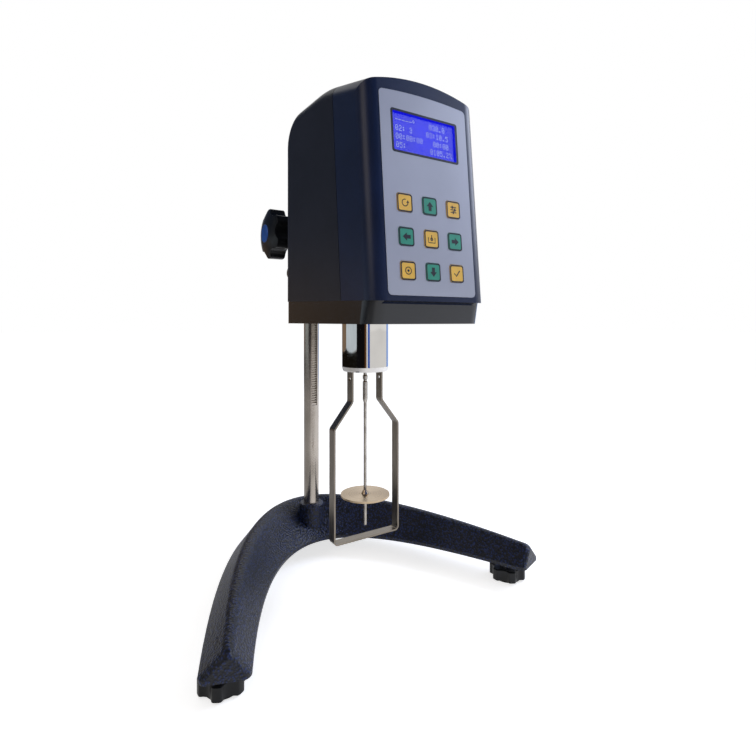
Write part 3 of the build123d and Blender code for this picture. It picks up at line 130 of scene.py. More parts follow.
def spread(tree, value, low, high, end=1.0, start=0.0):
    """Value between two others, as another runs from its start to its end."""
    return add(tree, "MapRange", {
        "Value": value, "From Min": start, "From Max": end, "To Min": low, "To Max": high,
    }).outputs["Result"]


def relief(tree, height, depth_mm):
    """Normal of a surface whose height varies by a depth in millimetres."""
    return add(tree, "Bump", {"Height": height, "Distance": depth_mm * MM}).outputs["Normal"]


def maths(tree, operation, *values):
    """Result of a sum on numbers."""
    return add(tree, "Math", dict(enumerate(values)), operation=operation).outputs["Value"]


def vectors(tree, operation, *values, result="Vector"):
    """Result of a sum on vectors."""
    return add(tree, "VectorMath", dict(enumerate(values)), operation=operation).outputs[result]


def shade(tone, share):
    """The same colour, lighter or darker by a share."""
    return tuple(share * part for part in tuple(tone)[:3]) + (1.0,)


def grained(name, dark, light, cloud_mm, rough, grain_mm, depth_mm, stretch=(1, 1, 1), sockets=None):
    """Surface whose tone drifts between two colours and whose grain shows in relief and gloss."""
    material, tree = new_tree(name)
    place = spot_of(tree)
    grain = noise(tree, stretched(tree, place, stretch), grain_mm)
    close(tree, {
        "Base Color": ramp(tree, noise(tree, place, cloud_mm, 3.0), dark, light, 0.35, 0.65),
        "Roughness": spread(tree, grain, *rough),
        "Normal": relief(tree, grain, depth_mm),
        **(sockets or {}),
    })
    return material


# ---------------------------------------------------------------- user settings
def colour(name, description, hex_colour):
    """Colour setting with an sRGB hex default."""
    return FloatVectorProperty(
        name=name, description=description, subtype="COLOR", size=4, min=0.0, max=1.0,
        default=linear(hex_colour),
    )


def length(name, description, size_mm):
    """Length setting in metres with a default in millimetres."""
    return FloatProperty(name=name, description=description, default=size_mm * MM, min=0.0, unit="LENGTH")


class FinishColours(bpy.types.PropertyGroup):
    """Colours of the visible finishes."""

    enamel_low: colour("Enamel, valleys", "Dark tone of the hammered enamel between its islands", "#070B16")
    enamel_high: colour("Enamel, islands", "Light tone on the islands of the hammered enamel", "#20346A")
    charcoal: colour("Rear shell", "Moulded charcoal of the rear shell", "#181A24")
    navy: colour("Front bezel", "Moulded navy of the front bezel", "#0C1A38")
    black: colour("Gloss black", "Moulded gloss black of the bottom cover", "#0B0D12")
    film_silver: colour("Panel film", "Silver printed on the back of the panel film", "#B2B5BF")
    yellow: colour("Yellow keys", "Yellow of the function keys", "#FFCB4A")
    green: colour("Green keys", "Green of the arrow keys", "#2E9F80")
    ink: colour("Ink", "Black ink of outlines and symbols", "#0A0B10")
    backlight: colour("Display backlight", "Blue of the lit display", "#1212EA")
    dots: colour("Display dots", "Pale dots of the display's characters", "#AEBBFF")
    phenolic: colour("Knobs", "Black moulding of the hand knobs", "#0A0B0D")
    cap_blue: colour("Knob cap", "Blue of the lift knob's cap", "#0C4FA6")


class PrintSizes(bpy.types.PropertyGroup):
    """Sizes of the panel's prints and of the display's characters."""

    ink_height: length("Ink height", "How far a print stands up from its surface", 0.06)
    key_outline: length("Key outline", "Width of the black outline on each key", 1.0)
    key_corner: length("Key corner", "Corner radius of the keys", 2.0)
    arrow_height: length("Arrow height", "Height of the arrows on the green keys", 7.0)
    stroke: length("Stroke", "Line width of the symbols on the yellow keys", 0.65)
    frame_outer: length("Display frame, outside", "Black frame beyond the display's opening, each side", 0.5)
    frame_inner: length("Display frame, inside", "Black frame over the display's window, each side", 1.3)
    dot_x: length("Dot pitch across", "Distance between the display's dots along a line", 0.50)
    dot_y: length("Dot pitch down", "Distance between the display's dots down a character", 0.62)
    character: length("Character pitch", "Distance between characters on a line", 3.17)
    line: length("Line pitch", "Distance between the display's lines", 6.4)


class StageSettings(bpy.types.PropertyGroup):
    """Camera and lamps."""

    camera_place: FloatVectorProperty(
        name="Camera", description="Where the camera stands", subtype="XYZ", unit="LENGTH",
        default=(-0.2382, -0.4298, 0.2520),
    )
    camera_turn: FloatProperty(
        name="Turn", description="Heading of the level camera, from +Y towards +X", subtype="ANGLE",
        default=math.radians(32.81),
    )
    lens: FloatProperty(name="Lens", description="Focal length in millimetres", default=24.15, min=1.0)
    rise: FloatProperty(name="Rise", description="Vertical shift of the level camera", default=-0.0758)
    key_power: FloatProperty(
        name="Key lamp", description="Power of the large lamp", default=15.0, unit="POWER",
    )
    fill_power: FloatProperty(
        name="Fill lamp", description="Power of the lamp on the left", default=2.5, unit="POWER",
    )
    ambient: FloatProperty(name="Ambient", description="Even light from all round", default=0.42, min=0.0)


# ---------------------------------------------------------------- mesh helpers
def rounded(half_x, half_y, radius, steps=5):
    """Points round a rectangle with rounded corners."""
    points = []
    for turn, (side_x, side_y) in enumerate(((1, 1), (-1, 1), (-1, -1), (1, -1))):
        for step in range(steps + 1):
            angle = math.pi / 2 * (turn + step / steps)
            points.append((
                side_x * (half_x - radius) + radius * math.cos(angle),
                side_y * (half_y - radius) + radius * math.sin(angle),
            ))
    return points


def circle(radius, steps=32, x=0.0, y=0.0):
    """Points round a circle."""
    turns = [2 * math.pi * step / steps for step in range(steps)]
    return [(x + radius * math.cos(turn), y + radius * math.sin(turn)) for turn in turns]


def slab(bm, place, outline, low, high, hole=None):
    """Flat piece between two heights above a place; a hole has as many points as the outline."""
    def ring(points, height):
        return [bm.verts.new(place @ Vector((x, y, height))) for x, y in points]

    def walls(bottom, top):
        for number in range(len(bottom)):
            after = (number + 1) % len(bottom)
            bm.faces.new((bottom[number], bottom[after], top[after], top[number]))

    bottom, top = ring(outline, low), ring(outline, high)
    walls(bottom, top)
    if hole is None:
        bm.faces.new(top)
        bm.faces.new(list(reversed(bottom)))
        return
    hole_bottom, hole_top = ring(hole, low), ring(hole, high)
    walls(hole_top, hole_bottom)
    walls(top, hole_top)
    walls(hole_bottom, bottom)


def turned(bm, place, profile, steps=32, wave=0.0, lobes=0):
    """Body turned about a place's Z from (radius, height) points; wave ripples the radius into lobes."""
    rings = []
    for radius, height in profile:
        if radius == 0:
            rings.append([bm.verts.new(place @ Vector((0, 0, height)))])
            continue
        ring = []
        for step in range(steps):
            turn = 2 * math.pi * step / steps
            out = radius + wave * math.cos(lobes * turn)
            ring.append(bm.verts.new(place @ Vector((out * math.cos(turn), out * math.sin(turn), height))))
        rings.append(ring)
    for first, second in zip(rings, rings[1:]):
        for step in range(steps):
            after = (step + 1) % steps
            corners = [first[step % len(first)], first[after % len(first)]]
            corners += [second[after % len(second)], second[step % len(second)]]
            unique = [v for number, v in enumerate(corners) if v not in corners[:number]]
            if len(unique) > 2:
                bm.faces.new(unique)


def stroke(bm, place, points, width, low, high, closed=False):
    """Flat line of a constant width along points, drawn as a slab."""
    count = len(points)
    left, right = [], []
    for number, (x, y) in enumerate(points):
        before = points[number - 1] if closed or number else points[0]
        after = points[(number + 1) % count] if closed or number < count - 1 else points[-1]
        along = Vector((after[0] - before[0], after[1] - before[1])).normalized() * width / 2
        left.append((x - along.y, y + along.x))
        right.append((x + along.y, y - along.x))
    if closed:
        slab(bm, place, right, low, high, hole=left)
    else:
        slab(bm, place, right + left[::-1], low, high)


def from_mesh(name, bm, material):
    """Object made from a bmesh and put in the scene."""
    mesh = bpy.data.meshes.new(name)
    bm.to_mesh(mesh)
    bm.free()
    mesh.materials.append(material)
    made = bpy.data.objects.new(name, mesh)
    bpy.context.scene.collection.objects.link(made)
    return made


def piece(name, bm, body, material, replaces=(), smooth=None):
    """Makes a piece from a bmesh and lets it ride on a body; smooth is the largest angle shaded round."""
    bmesh.ops.recalc_face_normals(bm, faces=bm.faces)
    made = from_mesh(name, bm, material)
    if smooth is not None:
        made.data.shade_smooth()
        made.data.set_sharp_from_angle(angle=math.radians(smooth))
    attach(made, body)
    if replaces:
        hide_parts(*replaces)
    return made


def coat(material, *nodes):
    """Gives CAD nodes a material."""
    for node in nodes:
        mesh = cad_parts[node].data
        mesh.materials.clear()
        mesh.materials.append(material)


def feet(part):
    """CAD nodes of one part of the three feet."""
    return [f"foot_{part}_{side}" for side in ("left", "right", "rear")]


def middle(node):
    """Centre of a CAD node's box."""
    low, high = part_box(node)
    return (low + high) / 2


# ---------------------------------------------------------------- panel frame
PANEL_LEAN = math.radians(4.93)
PANEL_UP = Vector((0, math.sin(PANEL_LEAN), math.cos(PANEL_LEAN)))
PANEL_OUT = Vector((0, -math.cos(PANEL_LEAN), math.sin(PANEL_LEAN)))
OVERLAY_PROUD = 0.3 * MM
OVERLAY_THICK = 1.0 * MM
KEY_PROUD = 0.7 * MM
KEY_SIZE = 13.4 * MM
DISPLAY_WIDTH = 60.3 * MM
DISPLAY_LOW = 106.2 * MM
DISPLAY_HIGH = 136.2 * MM
WINDOW_BACK = 1.95 * MM


def panel_origin():
    """Middle of the panel plane's lower edge, from the overlay's own box."""
    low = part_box("panel_overlay")[0]
    back = OVERLAY_THICK - OVERLAY_PROUD
    return Vector((0, low.y + OVERLAY_PROUD * math.cos(PANEL_LEAN), low.z + back * math.sin(PANEL_LEAN)))


def panel_place(x, up, out=0.0):
    """Frame on the panel plane: X to the right, Y up the slant, Z out of the panel."""
    spot = panel_origin() + Vector((x, 0, 0)) + PANEL_UP * up + PANEL_OUT * out
    columns = Matrix((Vector((1, 0, 0)), PANEL_UP, PANEL_OUT)).transposed()
    return Matrix.Translation(spot) @ columns.to_4x4()


def key_place(node):
    """Frame on the top face of a key."""
    offset = middle(node) - panel_origin()
    return panel_place(offset.x, offset.dot(PANEL_UP), KEY_PROUD)


# ---------------------------------------------------------------- materials
def hammer_enamel(colours):
    """Hammer enamel, sprayed on cast iron and stoved: glossy islands between darker valleys."""
    material, tree = new_tree("hammer_enamel_on_cast_iron")
    place = spot_of(tree)
    # Islands of about 1.9 mm, pulled out of round by a noise of 3 mm.
    drift = add(tree, "TexNoise", {"Vector": place, "Scale": per(3.0), "Detail": 2.0}).outputs["Color"]
    pulled = vectors(tree, "ADD", place, vectors(tree, "MULTIPLY", drift, (1.2 * MM, 1.2 * MM, 1.2 * MM)))
    islands = add(
        tree, "TexVoronoi", {"Vector": pulled, "Scale": per(1.9), "Smoothness": 0.35}, feature="SMOOTH_F1",
    )
    crazing = noise(tree, place, 0.9, 3.0)
    height = spread(tree, islands.outputs["Distance"], 1.0, 0.0, end=0.8)
    close(tree, {
        "Base Color": ramp(tree, height, tuple(colours.enamel_low), tuple(colours.enamel_high), 0.35, 0.95),
        "Roughness": spread(tree, crazing, 0.30, 0.52),
        "Normal": relief(tree, maths(tree, "MULTIPLY_ADD", crazing, 0.5, height), 0.6),
        "IOR": 1.5,
        "Specular IOR Level": 0.38,
        "Coat Weight": 0.08,
        "Coat Roughness": 0.3,
    })
    return material


def ground_chrome():
    """Hard chrome on a centreless-ground steel bar: satin, with fine rings round the bar."""
    # Grinding rings are 0.05 mm apart; 0.6 mm is the finest that shows.
    return grained(
        "hard_chrome_on_ground_steel", linear("#9C9489"), linear("#B4ABA0"), 40, (0.16, 0.28), 30, 0.004,
        stretch=(0.5, 0.5, 50), sockets={"Metallic": 1.0},
    )


def mirror_chrome():
    """Bright chrome on polished brass: a mirror with faint wiping marks."""
    return grained(
        "bright_chrome_on_polished_brass", linear("#CFCCC8"), linear("#DAD7D2"), 30, (0.02, 0.06), 6, 0.001,
        sockets={"Metallic": 1.0},
    )


def rolled_stainless():
    """Stainless strip as rolled, then brushed along its length: warm grey with long fine lines."""
    material, tree = new_tree("brushed_stainless_strip")
    place = spot_of(tree)
    # Brush lines are 0.1 mm apart; 0.5 mm is the finest that shows.
    lines_up = noise(tree, stretched(tree, place, (1, 1, 0.03)), 0.5)
    lines_level = noise(tree, stretched(tree, place, (0.03, 1, 1)), 0.5)
    height = add(tree, "SeparateXYZ", {"Vector": place}).outputs["Z"]
    is_bar = maths(tree, "LESS_THAN", height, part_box("guard")[0].z + 1.6 * MM)
    lines = add(tree, "Mix", {"Factor": is_bar, "A": lines_up, "B": lines_level}).outputs["Result"]
    close(tree, {
        "Base Color": ramp(tree, lines, linear("#6F675B"), linear("#958C80")),
        "Metallic": 1.0,
        "Roughness": spread(tree, lines, 0.20, 0.42),
        "Normal": relief(tree, lines, 0.008),
    })
    return material


def turned_stainless():
    """Stainless faced on a lathe: fine rings that spread the light into a fan across the disc."""
    material, tree = new_tree("turned_stainless")
    axis = middle("spindle_disc")
    from_axis = vectors(tree, "SUBTRACT", spot_of(tree), (axis.x, axis.y, 0))
    radius = vectors(tree, "LENGTH", vectors(tree, "MULTIPLY", from_axis, (1, 1, 0)), result="Value")
    # Tool marks are 0.08 mm apart; 0.5 mm is the finest that shows.
    rings = noise(tree, add(tree, "CombineXYZ", {"X": radius}).outputs["Vector"], 0.5)
    around = add(tree, "Tangent", direction_type="RADIAL", axis="Z")
    close(tree, {
        "Base Color": ramp(tree, rings, linear("#AB977C"), linear("#D2BC9C")),
        "Metallic": 1.0,
        "Roughness": spread(tree, rings, 0.22, 0.36),
        "Anisotropic": 0.75,
        "Tangent": around.outputs["Tangent"],
        "Normal": relief(tree, rings, 0.006),
    })
    return material


def shell_abs(name, tone, shine):
    """ABS moulded against a spark-eroded tool: dull, with a fine even grain."""
    # The tool's grain is 0.15 mm; 0.7 mm is the finest that shows.
    return grained(
        name, shade(tone, 0.85), shade(tone, 1.12), 35, (shine, shine + 0.1), 0.7, 0.012,
        sockets={"IOR": 1.53, "Specular IOR Level": 0.4},
    )


def gloss_abs(colours):
    """ABS from a polished tool: black, shiny, with faint moulding flow."""
    black = tuple(colours.black)
    return grained(
        "gloss_black_abs", black, shade(black, 1.4), 22, (0.14, 0.24), 5, 0.004, sockets={"IOR": 1.53}
    )


def panel_film(colours):
    """Polycarbonate film with a velvet face, printed silver on its back: soft metallic grey."""
    silver = tuple(colours.film_silver)
    # The face's velvet texture is 0.06 mm; 0.6 mm is the finest that shows.
    return grained(
        "silver_printed_polycarbonate_film", shade(silver, 0.9), silver, 60, (0.38, 0.50), 0.6, 0.004,
        sockets={"Metallic": 0.25, "IOR": 1.58, "Coat Weight": 0.3, "Coat Roughness": 0.35},
    )


def key_film(name, tone):
    """Printed polyester over a key: even colour with a slight satin break."""
    return grained(
        name, shade(tone, 0.88), tuple(tone), 7, (0.34, 0.44), 0.6, 0.004,
        sockets={"IOR": 1.57, "Coat Weight": 0.2, "Coat Roughness": 0.3},
    )


def black_ink(colours):
    """Screen-printed black ink: matt, faintly uneven where the mesh left it thin."""
    ink = tuple(colours.ink)
    return grained(
        "screen_printed_black_ink", ink, shade(ink, 2.2), 3, (0.40, 0.55), 0.4, 0.003, sockets={"IOR": 1.5}
    )


def lit_display(colours):
    """Negative blue liquid-crystal cell over a white backlight: even blue with a fine dot grid."""
    material, tree = new_tree("backlit_liquid_crystal_cell")
    place = spot_of(tree)
    # The cell's gaps are 0.03 mm; drawn 0.6 mm apart and faint, the finest that shows.
    dots = add(tree, "TexVoronoi", {"Vector": place, "Scale": per(0.6), "Randomness": 0.0}, feature="F1")
    blue = colours.backlight
    even = ramp(tree, noise(tree, place, 26, 1.0), shade(blue, 0.86), shade(blue, 1.08))
    grid = vectors(tree, "MULTIPLY", even, spread(tree, dots.outputs["Distance"], 1.0, 0.92, end=0.7))
    # Only the cell is lit; the frame behind it is a dark pressed-steel bezel.
    depth = vectors(tree, "DOT_PRODUCT", place, tuple(PANEL_OUT), result="Value")
    behind = panel_origin().dot(PANEL_OUT) - WINDOW_BACK - 0.5 * MM
    close(tree, {
        "Base Color": linear("#0A0A30"),
        "Roughness": 0.1,
        "Emission Color": vectors(tree, "MULTIPLY", grid, maths(tree, "GREATER_THAN", depth, behind)),
        "Emission Strength": 1.0,
    })
    return material


def display_dots(colours):
    """Cleared dots of the display, where the backlight comes through nearly white."""
    material, tree = new_tree("clear_display_dots")
    pale = colours.dots
    close(tree, {
        "Base Color": linear("#202040"),
        "Roughness": 0.3,
        "Emission Color": ramp(tree, noise(tree, spot_of(tree), 9, 1.0), shade(pale, 0.7), shade(pale, 1)),
        "Emission Strength": 0.8,
    })
    return material


def clear_acrylic(name="clear_cast_acrylic", tint="#F4F8FF"):
    """Cast acrylic with polished faces: clear, with a slight haze of fine wiping scratches."""
    material, tree = new_tree(name)
    wiped = stretched(tree, spot_of(tree), (0.2, 1, 1))
    close(tree, {
        "Base Color": linear(tint),
        "Roughness": spread(tree, noise(tree, wiped, 1.2, 4.0), 0.0, 0.02),
        "IOR": 1.49,
        "Transmission Weight": 1.0,
    })
    return material


def phenolic(colours):
    """Phenolic pressed in a polished die: deep black with a soft shine."""
    black = tuple(colours.phenolic)
    return grained(
        "pressed_black_phenolic", black, shade(black, 1.5), 9, (0.26, 0.38), 1.2, 0.006,
        sockets={"IOR": 1.6, "Specular IOR Level": 0.25},
    )


def plated(name, dark, light, rough, grain_mm=0.8, stretch=(1, 1, 1)):
    """Plain metal finish: two near tones with a fine grain."""
    return grained(
        name, linear(dark), linear(light), 6, rough, grain_mm, 0.004, stretch=stretch,
        sockets={"Metallic": 1.0},
    )


def moulded(name, dark, light, rough, ior=1.5):
    """Plain moulded finish: two near tones with a fine grain."""
    return grained(name, linear(dark), linear(light), 8, rough, 0.7, 0.006, sockets={"IOR": ior})


# ---------------------------------------------------------------- prints and symbols
ARROW_WIDTH = 0.87    # head's width as a share of the height
ARROW_SHAFT = 0.39    # shaft's width as a share of the height
ARROW_HEAD = 0.52     # head's length as a share of the height
ARROW_TURNS = {"key_3_2": 0.0, "key_2_1": 90.0, "key_1_2": 180.0, "key_2_3": 270.0}


def arrow(height):
    """Outline of a block arrow that points up, centred on its box."""
    head, shaft = height * ARROW_WIDTH / 2, height * ARROW_SHAFT / 2
    neck = height * (0.5 - ARROW_HEAD)
    return [
        (0, height / 2), (-head, neck), (-shaft, neck), (-shaft, -height / 2),
        (shaft, -height / 2), (shaft, neck), (head, neck),
    ]


def arc(radius, start, end, steps=20):
    """Points along an arc between two angles in degrees."""
    turns = [math.radians(start + (end - start) * step / steps) for step in range(steps + 1)]
    return [(radius * math.cos(turn), radius * math.sin(turn)) for turn in turns]


def draw_again(bm, place, width, top):
    """Symbol for starting again: an open ring that ends in an arrow head."""
    radius = 2.5 * MM
    stroke(bm, place, arc(radius, 75, 355), width, 0, top)
    tip = 1.3 * MM
    slab(bm, place, [(radius - tip, 0), (radius, tip * 1.5), (radius + tip, 0)], 0, top)


def draw_sliders(bm, place, width, top):
    """Symbol for settings: three lines, each with its slider."""
    half, gap, knob = 2.9 * MM, 2.0 * MM, 0.6 * MM
    for row, slider in ((1, -1.0), (0, 1.3), (-1, -0.2)):
        stroke(bm, place, [(-half, row * gap), (half, row * gap)], width, 0, top)
        spot = place @ Matrix.Translation((slider * MM, row * gap, 0))
        slab(bm, spot, rounded(knob, 2 * knob, 0.2 * MM), top, 1.6 * top)


def draw_spindle(bm, place, width, top):
    """Symbol for measuring: a disc spindle hanging in its liquid."""
    stroke(bm, place, [(0, 3.2 * MM), (0, -1.0 * MM)], width, 0, top)
    stroke(bm, place, arc(1.0 * MM, 0, 360, 24)[:-1], width, 0, top, closed=True)
    half, brim, bottom = 3.1 * MM, 1.2 * MM, -2.7 * MM
    stroke(bm, place, [(-half, brim), (-half, bottom), (half, bottom), (half, brim)], width, 0, top)


def draw_disc(bm, place, width, top):
    """Symbol for the spindle's number: a ring round a dot."""
    stroke(bm, place, arc(2.6 * MM, 0, 360, 28)[:-1], width, 0, top, closed=True)
    slab(bm, place, circle(0.95 * MM, 20), 0, top)


def draw_tick(bm, place, width, top):
    """Symbol for the reference check: a tick."""
    points = [(-2.7 * MM, 0.2 * MM), (-0.7 * MM, -2.0 * MM), (2.8 * MM, 2.4 * MM)]
    stroke(bm, place, points, 1.4 * width, 0, top)


SYMBOLS = {
    "key_3_1": draw_again, "key_3_3": draw_sliders, "key_2_2": draw_spindle,
    "key_1_1": draw_disc, "key_1_3": draw_tick,
}

# Dots of each character, seven rows of five from the top.
CHARACTERS = {
    "0": "01110 10001 10011 10101 11001 10001 01110",
    "1": "00100 01100 00100 00100 00100 00100 01110",
    "2": "01110 10001 00001 00110 01000 10000 11111",
    "3": "01110 10001 00001 00110 00001 10001 01110",
    "5": "11111 10000 11110 00001 00001 10001 01110",
    "-": "00000 00000 00000 11111 00000 00000 00000",
    ".": "00000 00000 00000 00000 00000 01100 01100",
    ":": "00000 01100 01100 00000 01100 01100 00000",
    "%": "11000 11001 00010 00100 01000 10011 00011",
    "°": "01100 10010 10010 01100 00000 00000 00000",
}


# ---------------------------------------------------------------- reflected room
CARD_DISTANCE = 1.5
CARD_CORNER = 0.02
CARD_THICK = 0.01
# Heading from -Y towards +X and span in degrees, lowest and highest point in metres, colour.
# The low ones show in the sleeve and the base, the high ones in the head's faces.
CARDS = (
    (-170, 80, 0.0, 0.13, "#16130F"),
    (-95, 80, 0.0, 0.13, "#16130F"),
    (-174, 72, 0.13, 0.42, "#8A7460"),
    (-105, 66, 0.13, 0.42, "#DCE8F2"),
    (-52, 40, 0.0, 0.42, "#141214"),
    (-28, 8, 0.0, 0.42, "#6B4A30"),
    (-13, 10, 0.0, 0.42, "#4A6CC8"),
    (128, 60, 0.0, 0.42, "#A4C2FF"),
    (-152, 60, 0.42, 1.7, "#4A5468"),
    (-95, 50, 0.42, 1.9, "#15161C"),
    (-38, 64, 0.42, 1.9, "#24407C"),
    (24, 60, 0.42, 2.0, "#2C5CB4"),
)
CEILING = (2.2, 1.5, "#1A2844")    # height and half width in metres, colour
# The painted pool of window light on the bench, seen only in shiny things, fades out towards this side.
DARK_SIDE = (-0.866, 0.5, 0.0)    # where the bench mirrors dark, towards the operator's left


# ---------------------------------------------------------------- operators
class Step(bpy.types.Operator):
    """One step of the build."""

    bl_options = {"REGISTER", "UNDO"}

    def execute(self, context):
        self.make(context.scene.viscometer_colours, context.scene.viscometer_prints)
        return {"FINISHED"}


class VISCOMETER_OT_stand(Step):
    """Finishes the arch base, the column and the levelling feet."""

    bl_idname = "viscometer.stand"
    bl_label = "Stand and feet"

    def make(self, colours, prints):
        coat(hammer_enamel(colours), "base_casting")
        coat(ground_chrome(), "column")
        coat(plated("zinc_plated_steel", "#9DA0A4", "#B9BBBE", (0.22, 0.36)), "column_bolt", *feet("stud"))
        coat(phenolic(colours), *feet("knob"))
        rubber = moulded("moulded_black_rubber", "#101011", "#1A1A1B", (0.75, 0.9), 1.52)
        coat(rubber, *feet("pad"))


class VISCOMETER_OT_lift(Step):
    """Finishes the lift block and its knob, and makes the knurled clamp screw."""

    bl_idname = "viscometer.lift"
    bl_label = "Lift block and knob"

    def make(self, colours, prints):
        coat(moulded("black_powder_coat", "#0D0D0F", "#17171A", (0.45, 0.6)), "lift_block")
        coat(plated("sintered_bronze", "#7A5A34", "#94713F", (0.35, 0.5)), "lift_bushes")
        coat(plated("ground_steel", "#A3A4A6", "#BBBCBE", (0.14, 0.26)), "pinion_shaft", "handle_rod")
        coat(phenolic(colours), "lift_knob")
        blue = tuple(colours.cap_blue)
        coat(grained(
            "moulded_blue_polyamide", shade(blue, 0.7), blue, 5, (0.3, 0.42), 0.8, 0.006,
            sockets={"IOR": 1.53},
        ), "knob_cap")
        self.clamp_screw()

    def clamp_screw(self):
        """Brass screw with a straight knurl of 1 mm pitch round its head."""
        low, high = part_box("thumb_screw")
        centre = (low + high) / 2
        radius = (high.z - low.z) / 2
        head, bevel, tooth = 10.0 * MM, 0.9 * MM, 0.22 * MM
        place = Matrix.Translation((low.x, centre.y, centre.z)) @ Matrix.Rotation(math.radians(90), 4, "Y")
        lobes = round(2 * math.pi * radius / MM)
        bm = bmesh.new()
        turned(bm, place, [
            (0, 0), (radius - bevel - 1.4 * MM, 0), (radius - bevel, 0.0001), (radius - tooth, bevel),
            (radius - tooth, head - bevel), (radius - bevel, head), (0, head),
        ], steps=6 * lobes, wave=tooth, lobes=lobes)
        stem = 3.0 * MM
        turned(bm, place, [(0, head), (stem, head), (stem, high.x - low.x), (0, high.x - low.x)])
        brass = plated("nickel_plated_knurled_brass", "#7A6A48", "#A08D63", (0.25, 0.4))
        piece("clamp_screw", bm, "thumb_screw", brass, replaces=("thumb_screw",), smooth=35)


class VISCOMETER_OT_shells(Step):
    """Finishes the two shells and the bottom cover."""

    bl_idname = "viscometer.shells"
    bl_label = "Shells"

    def make(self, colours, prints):
        coat(shell_abs("charcoal_abs", tuple(colours.charcoal), 0.36), "rear_shell")
        coat(shell_abs("navy_abs", tuple(colours.navy), 0.32), "front_bezel")
        coat(gloss_abs(colours), "bottom_cover")


class VISCOMETER_OT_panel(Step):
    """Finishes the panel film and prints the display's frame on it."""

    bl_idname = "viscometer.panel"
    bl_label = "Panel film"

    def make(self, colours, prints):
        coat(panel_film(colours), "panel_overlay")
        half_x = DISPLAY_WIDTH / 2 + 1.0 * MM
        half_y = (DISPLAY_HIGH - DISPLAY_LOW) / 2 + 1.0 * MM
        outer, inner = prints.frame_outer, prints.frame_inner
        bm = bmesh.new()
        place = panel_place(0, (DISPLAY_LOW + DISPLAY_HIGH) / 2, OVERLAY_PROUD)
        slab(
            bm, place, rounded(half_x + outer, half_y + outer, 2.0 * MM), 0, prints.ink_height,
            hole=rounded(half_x - inner, half_y - inner, 1.2 * MM),
        )
        piece("display_frame_print", bm, "carriage", black_ink(colours))


class VISCOMETER_OT_display(Step):
    """Lights the display, writes plain numbers on it and covers it with a clear window."""

    bl_idname = "viscometer.display"
    bl_label = "Display"

    lines: StringProperty(
        name="Lines", description="Four lines of plain numbers, parted by commas",
        default="-----°    030.0,02: 3    03:10.5,00:00:00   00:00,05:       0105.2%",
    )
    dot_share: FloatProperty(name="Dot share", description="Dot size as a share of its pitch", default=0.9)

    def make(self, colours, prints):
        coat(lit_display(colours), "lcd_module")
        self.write(colours, prints)
        self.cover()

    def write(self, colours, prints):
        """Lit dots just in front of the cell, as thin squares."""
        bm = bmesh.new()
        lines = self.lines.split(",")
        place = panel_place(0, (DISPLAY_LOW + DISPLAY_HIGH) / 2, -WINDOW_BACK)
        half_x, half_y = self.dot_share * prints.dot_x / 2, self.dot_share * prints.dot_y / 2
        left = -(max(map(len, lines)) - 1) / 2 * prints.character
        top = (len(lines) - 1) / 2 * prints.line
        for row, line in enumerate(lines):
            for column, letter in enumerate(line):
                centre = Vector((left + column * prints.character, top - row * prints.line, 0))
                for down, dots in enumerate(CHARACTERS.get(letter, "").split()):
                    for across, dot in enumerate(dots):
                        if dot == "1":
                            offset = ((across - 2) * prints.dot_x, (3 - down) * prints.dot_y, 0)
                            spot = centre + Vector(offset)
                            square = [
                                (spot.x + x * half_x, spot.y + y * half_y)
                                for x, y in ((-1, -1), (1, -1), (1, 1), (-1, 1))
                            ]
                            slab(bm, place, square, 0.02 * MM, 0.06 * MM)
        piece("display_characters", bm, "carriage", display_dots(colours))

    def cover(self):
        """Clear window with small rounded corners, just off the cell."""
        half_x = DISPLAY_WIDTH / 2 + 0.9 * MM
        half_y = (DISPLAY_HIGH - DISPLAY_LOW) / 2 + 0.9 * MM
        bm = bmesh.new()
        place = panel_place(0, (DISPLAY_LOW + DISPLAY_HIGH) / 2)
        slab(bm, place, rounded(half_x, half_y, 0.4 * MM, 2), -1.7 * MM, -0.75 * MM)
        piece(
            "display_window", bm, "carriage", clear_acrylic(), replaces=("lcd_window",)
        )


class VISCOMETER_OT_keys(Step):
    """Colours the nine keys and prints their outlines and symbols."""

    bl_idname = "viscometer.keys"
    bl_label = "Keys"

    def make(self, colours, prints):
        yellow = key_film("yellow_printed_polyester", colours.yellow)
        green = key_film("green_printed_polyester", colours.green)
        ink = black_ink(colours)
        for row in (1, 2, 3):
            for column in (1, 2, 3):
                key = f"key_{row}_{column}"
                place = key_place(key)
                coat(green if key in ARROW_TURNS else yellow, key)
                self.outline(key, place, ink, prints)
                self.symbol(key, place, ink, prints)

    def outline(self, key, place, ink, prints):
        half, corner, width = KEY_SIZE / 2 - 0.02 * MM, prints.key_corner, prints.key_outline
        inside = rounded(half - width, half - width, corner - 0.6 * width)
        bm = bmesh.new()
        slab(bm, place, rounded(half, half, corner), 0, prints.ink_height, hole=inside)
        piece(f"{key}_outline", bm, key, ink)

    def symbol(self, key, place, ink, prints):
        bm = bmesh.new()
        if key in ARROW_TURNS:
            turn = Matrix.Rotation(math.radians(ARROW_TURNS[key]), 4, "Z")
            slab(bm, place @ turn, arrow(prints.arrow_height), 0, prints.ink_height)
        else:
            SYMBOLS[key](bm, place, prints.stroke, prints.ink_height)
        piece(f"{key}_symbol", bm, key, ink)


class VISCOMETER_OT_measuring(Step):
    """Finishes the chrome sleeve, the guard and the spindle."""

    bl_idname = "viscometer.measuring"
    bl_label = "Sleeve, guard and spindle"

    def make(self, colours, prints):
        coat(mirror_chrome(), "chrome_sleeve", "level_ring")
        coat(rolled_stainless(), "guard")
        coat(turned_stainless(), "spindle_disc")
        coat(
            plated("drawn_stainless", "#9A938A", "#B9B3AA", (0.18, 0.32), 0.4, (1, 1, 0.05)),
            "spindle_shaft", "spindle_coupling", "measuring_shaft",
        )


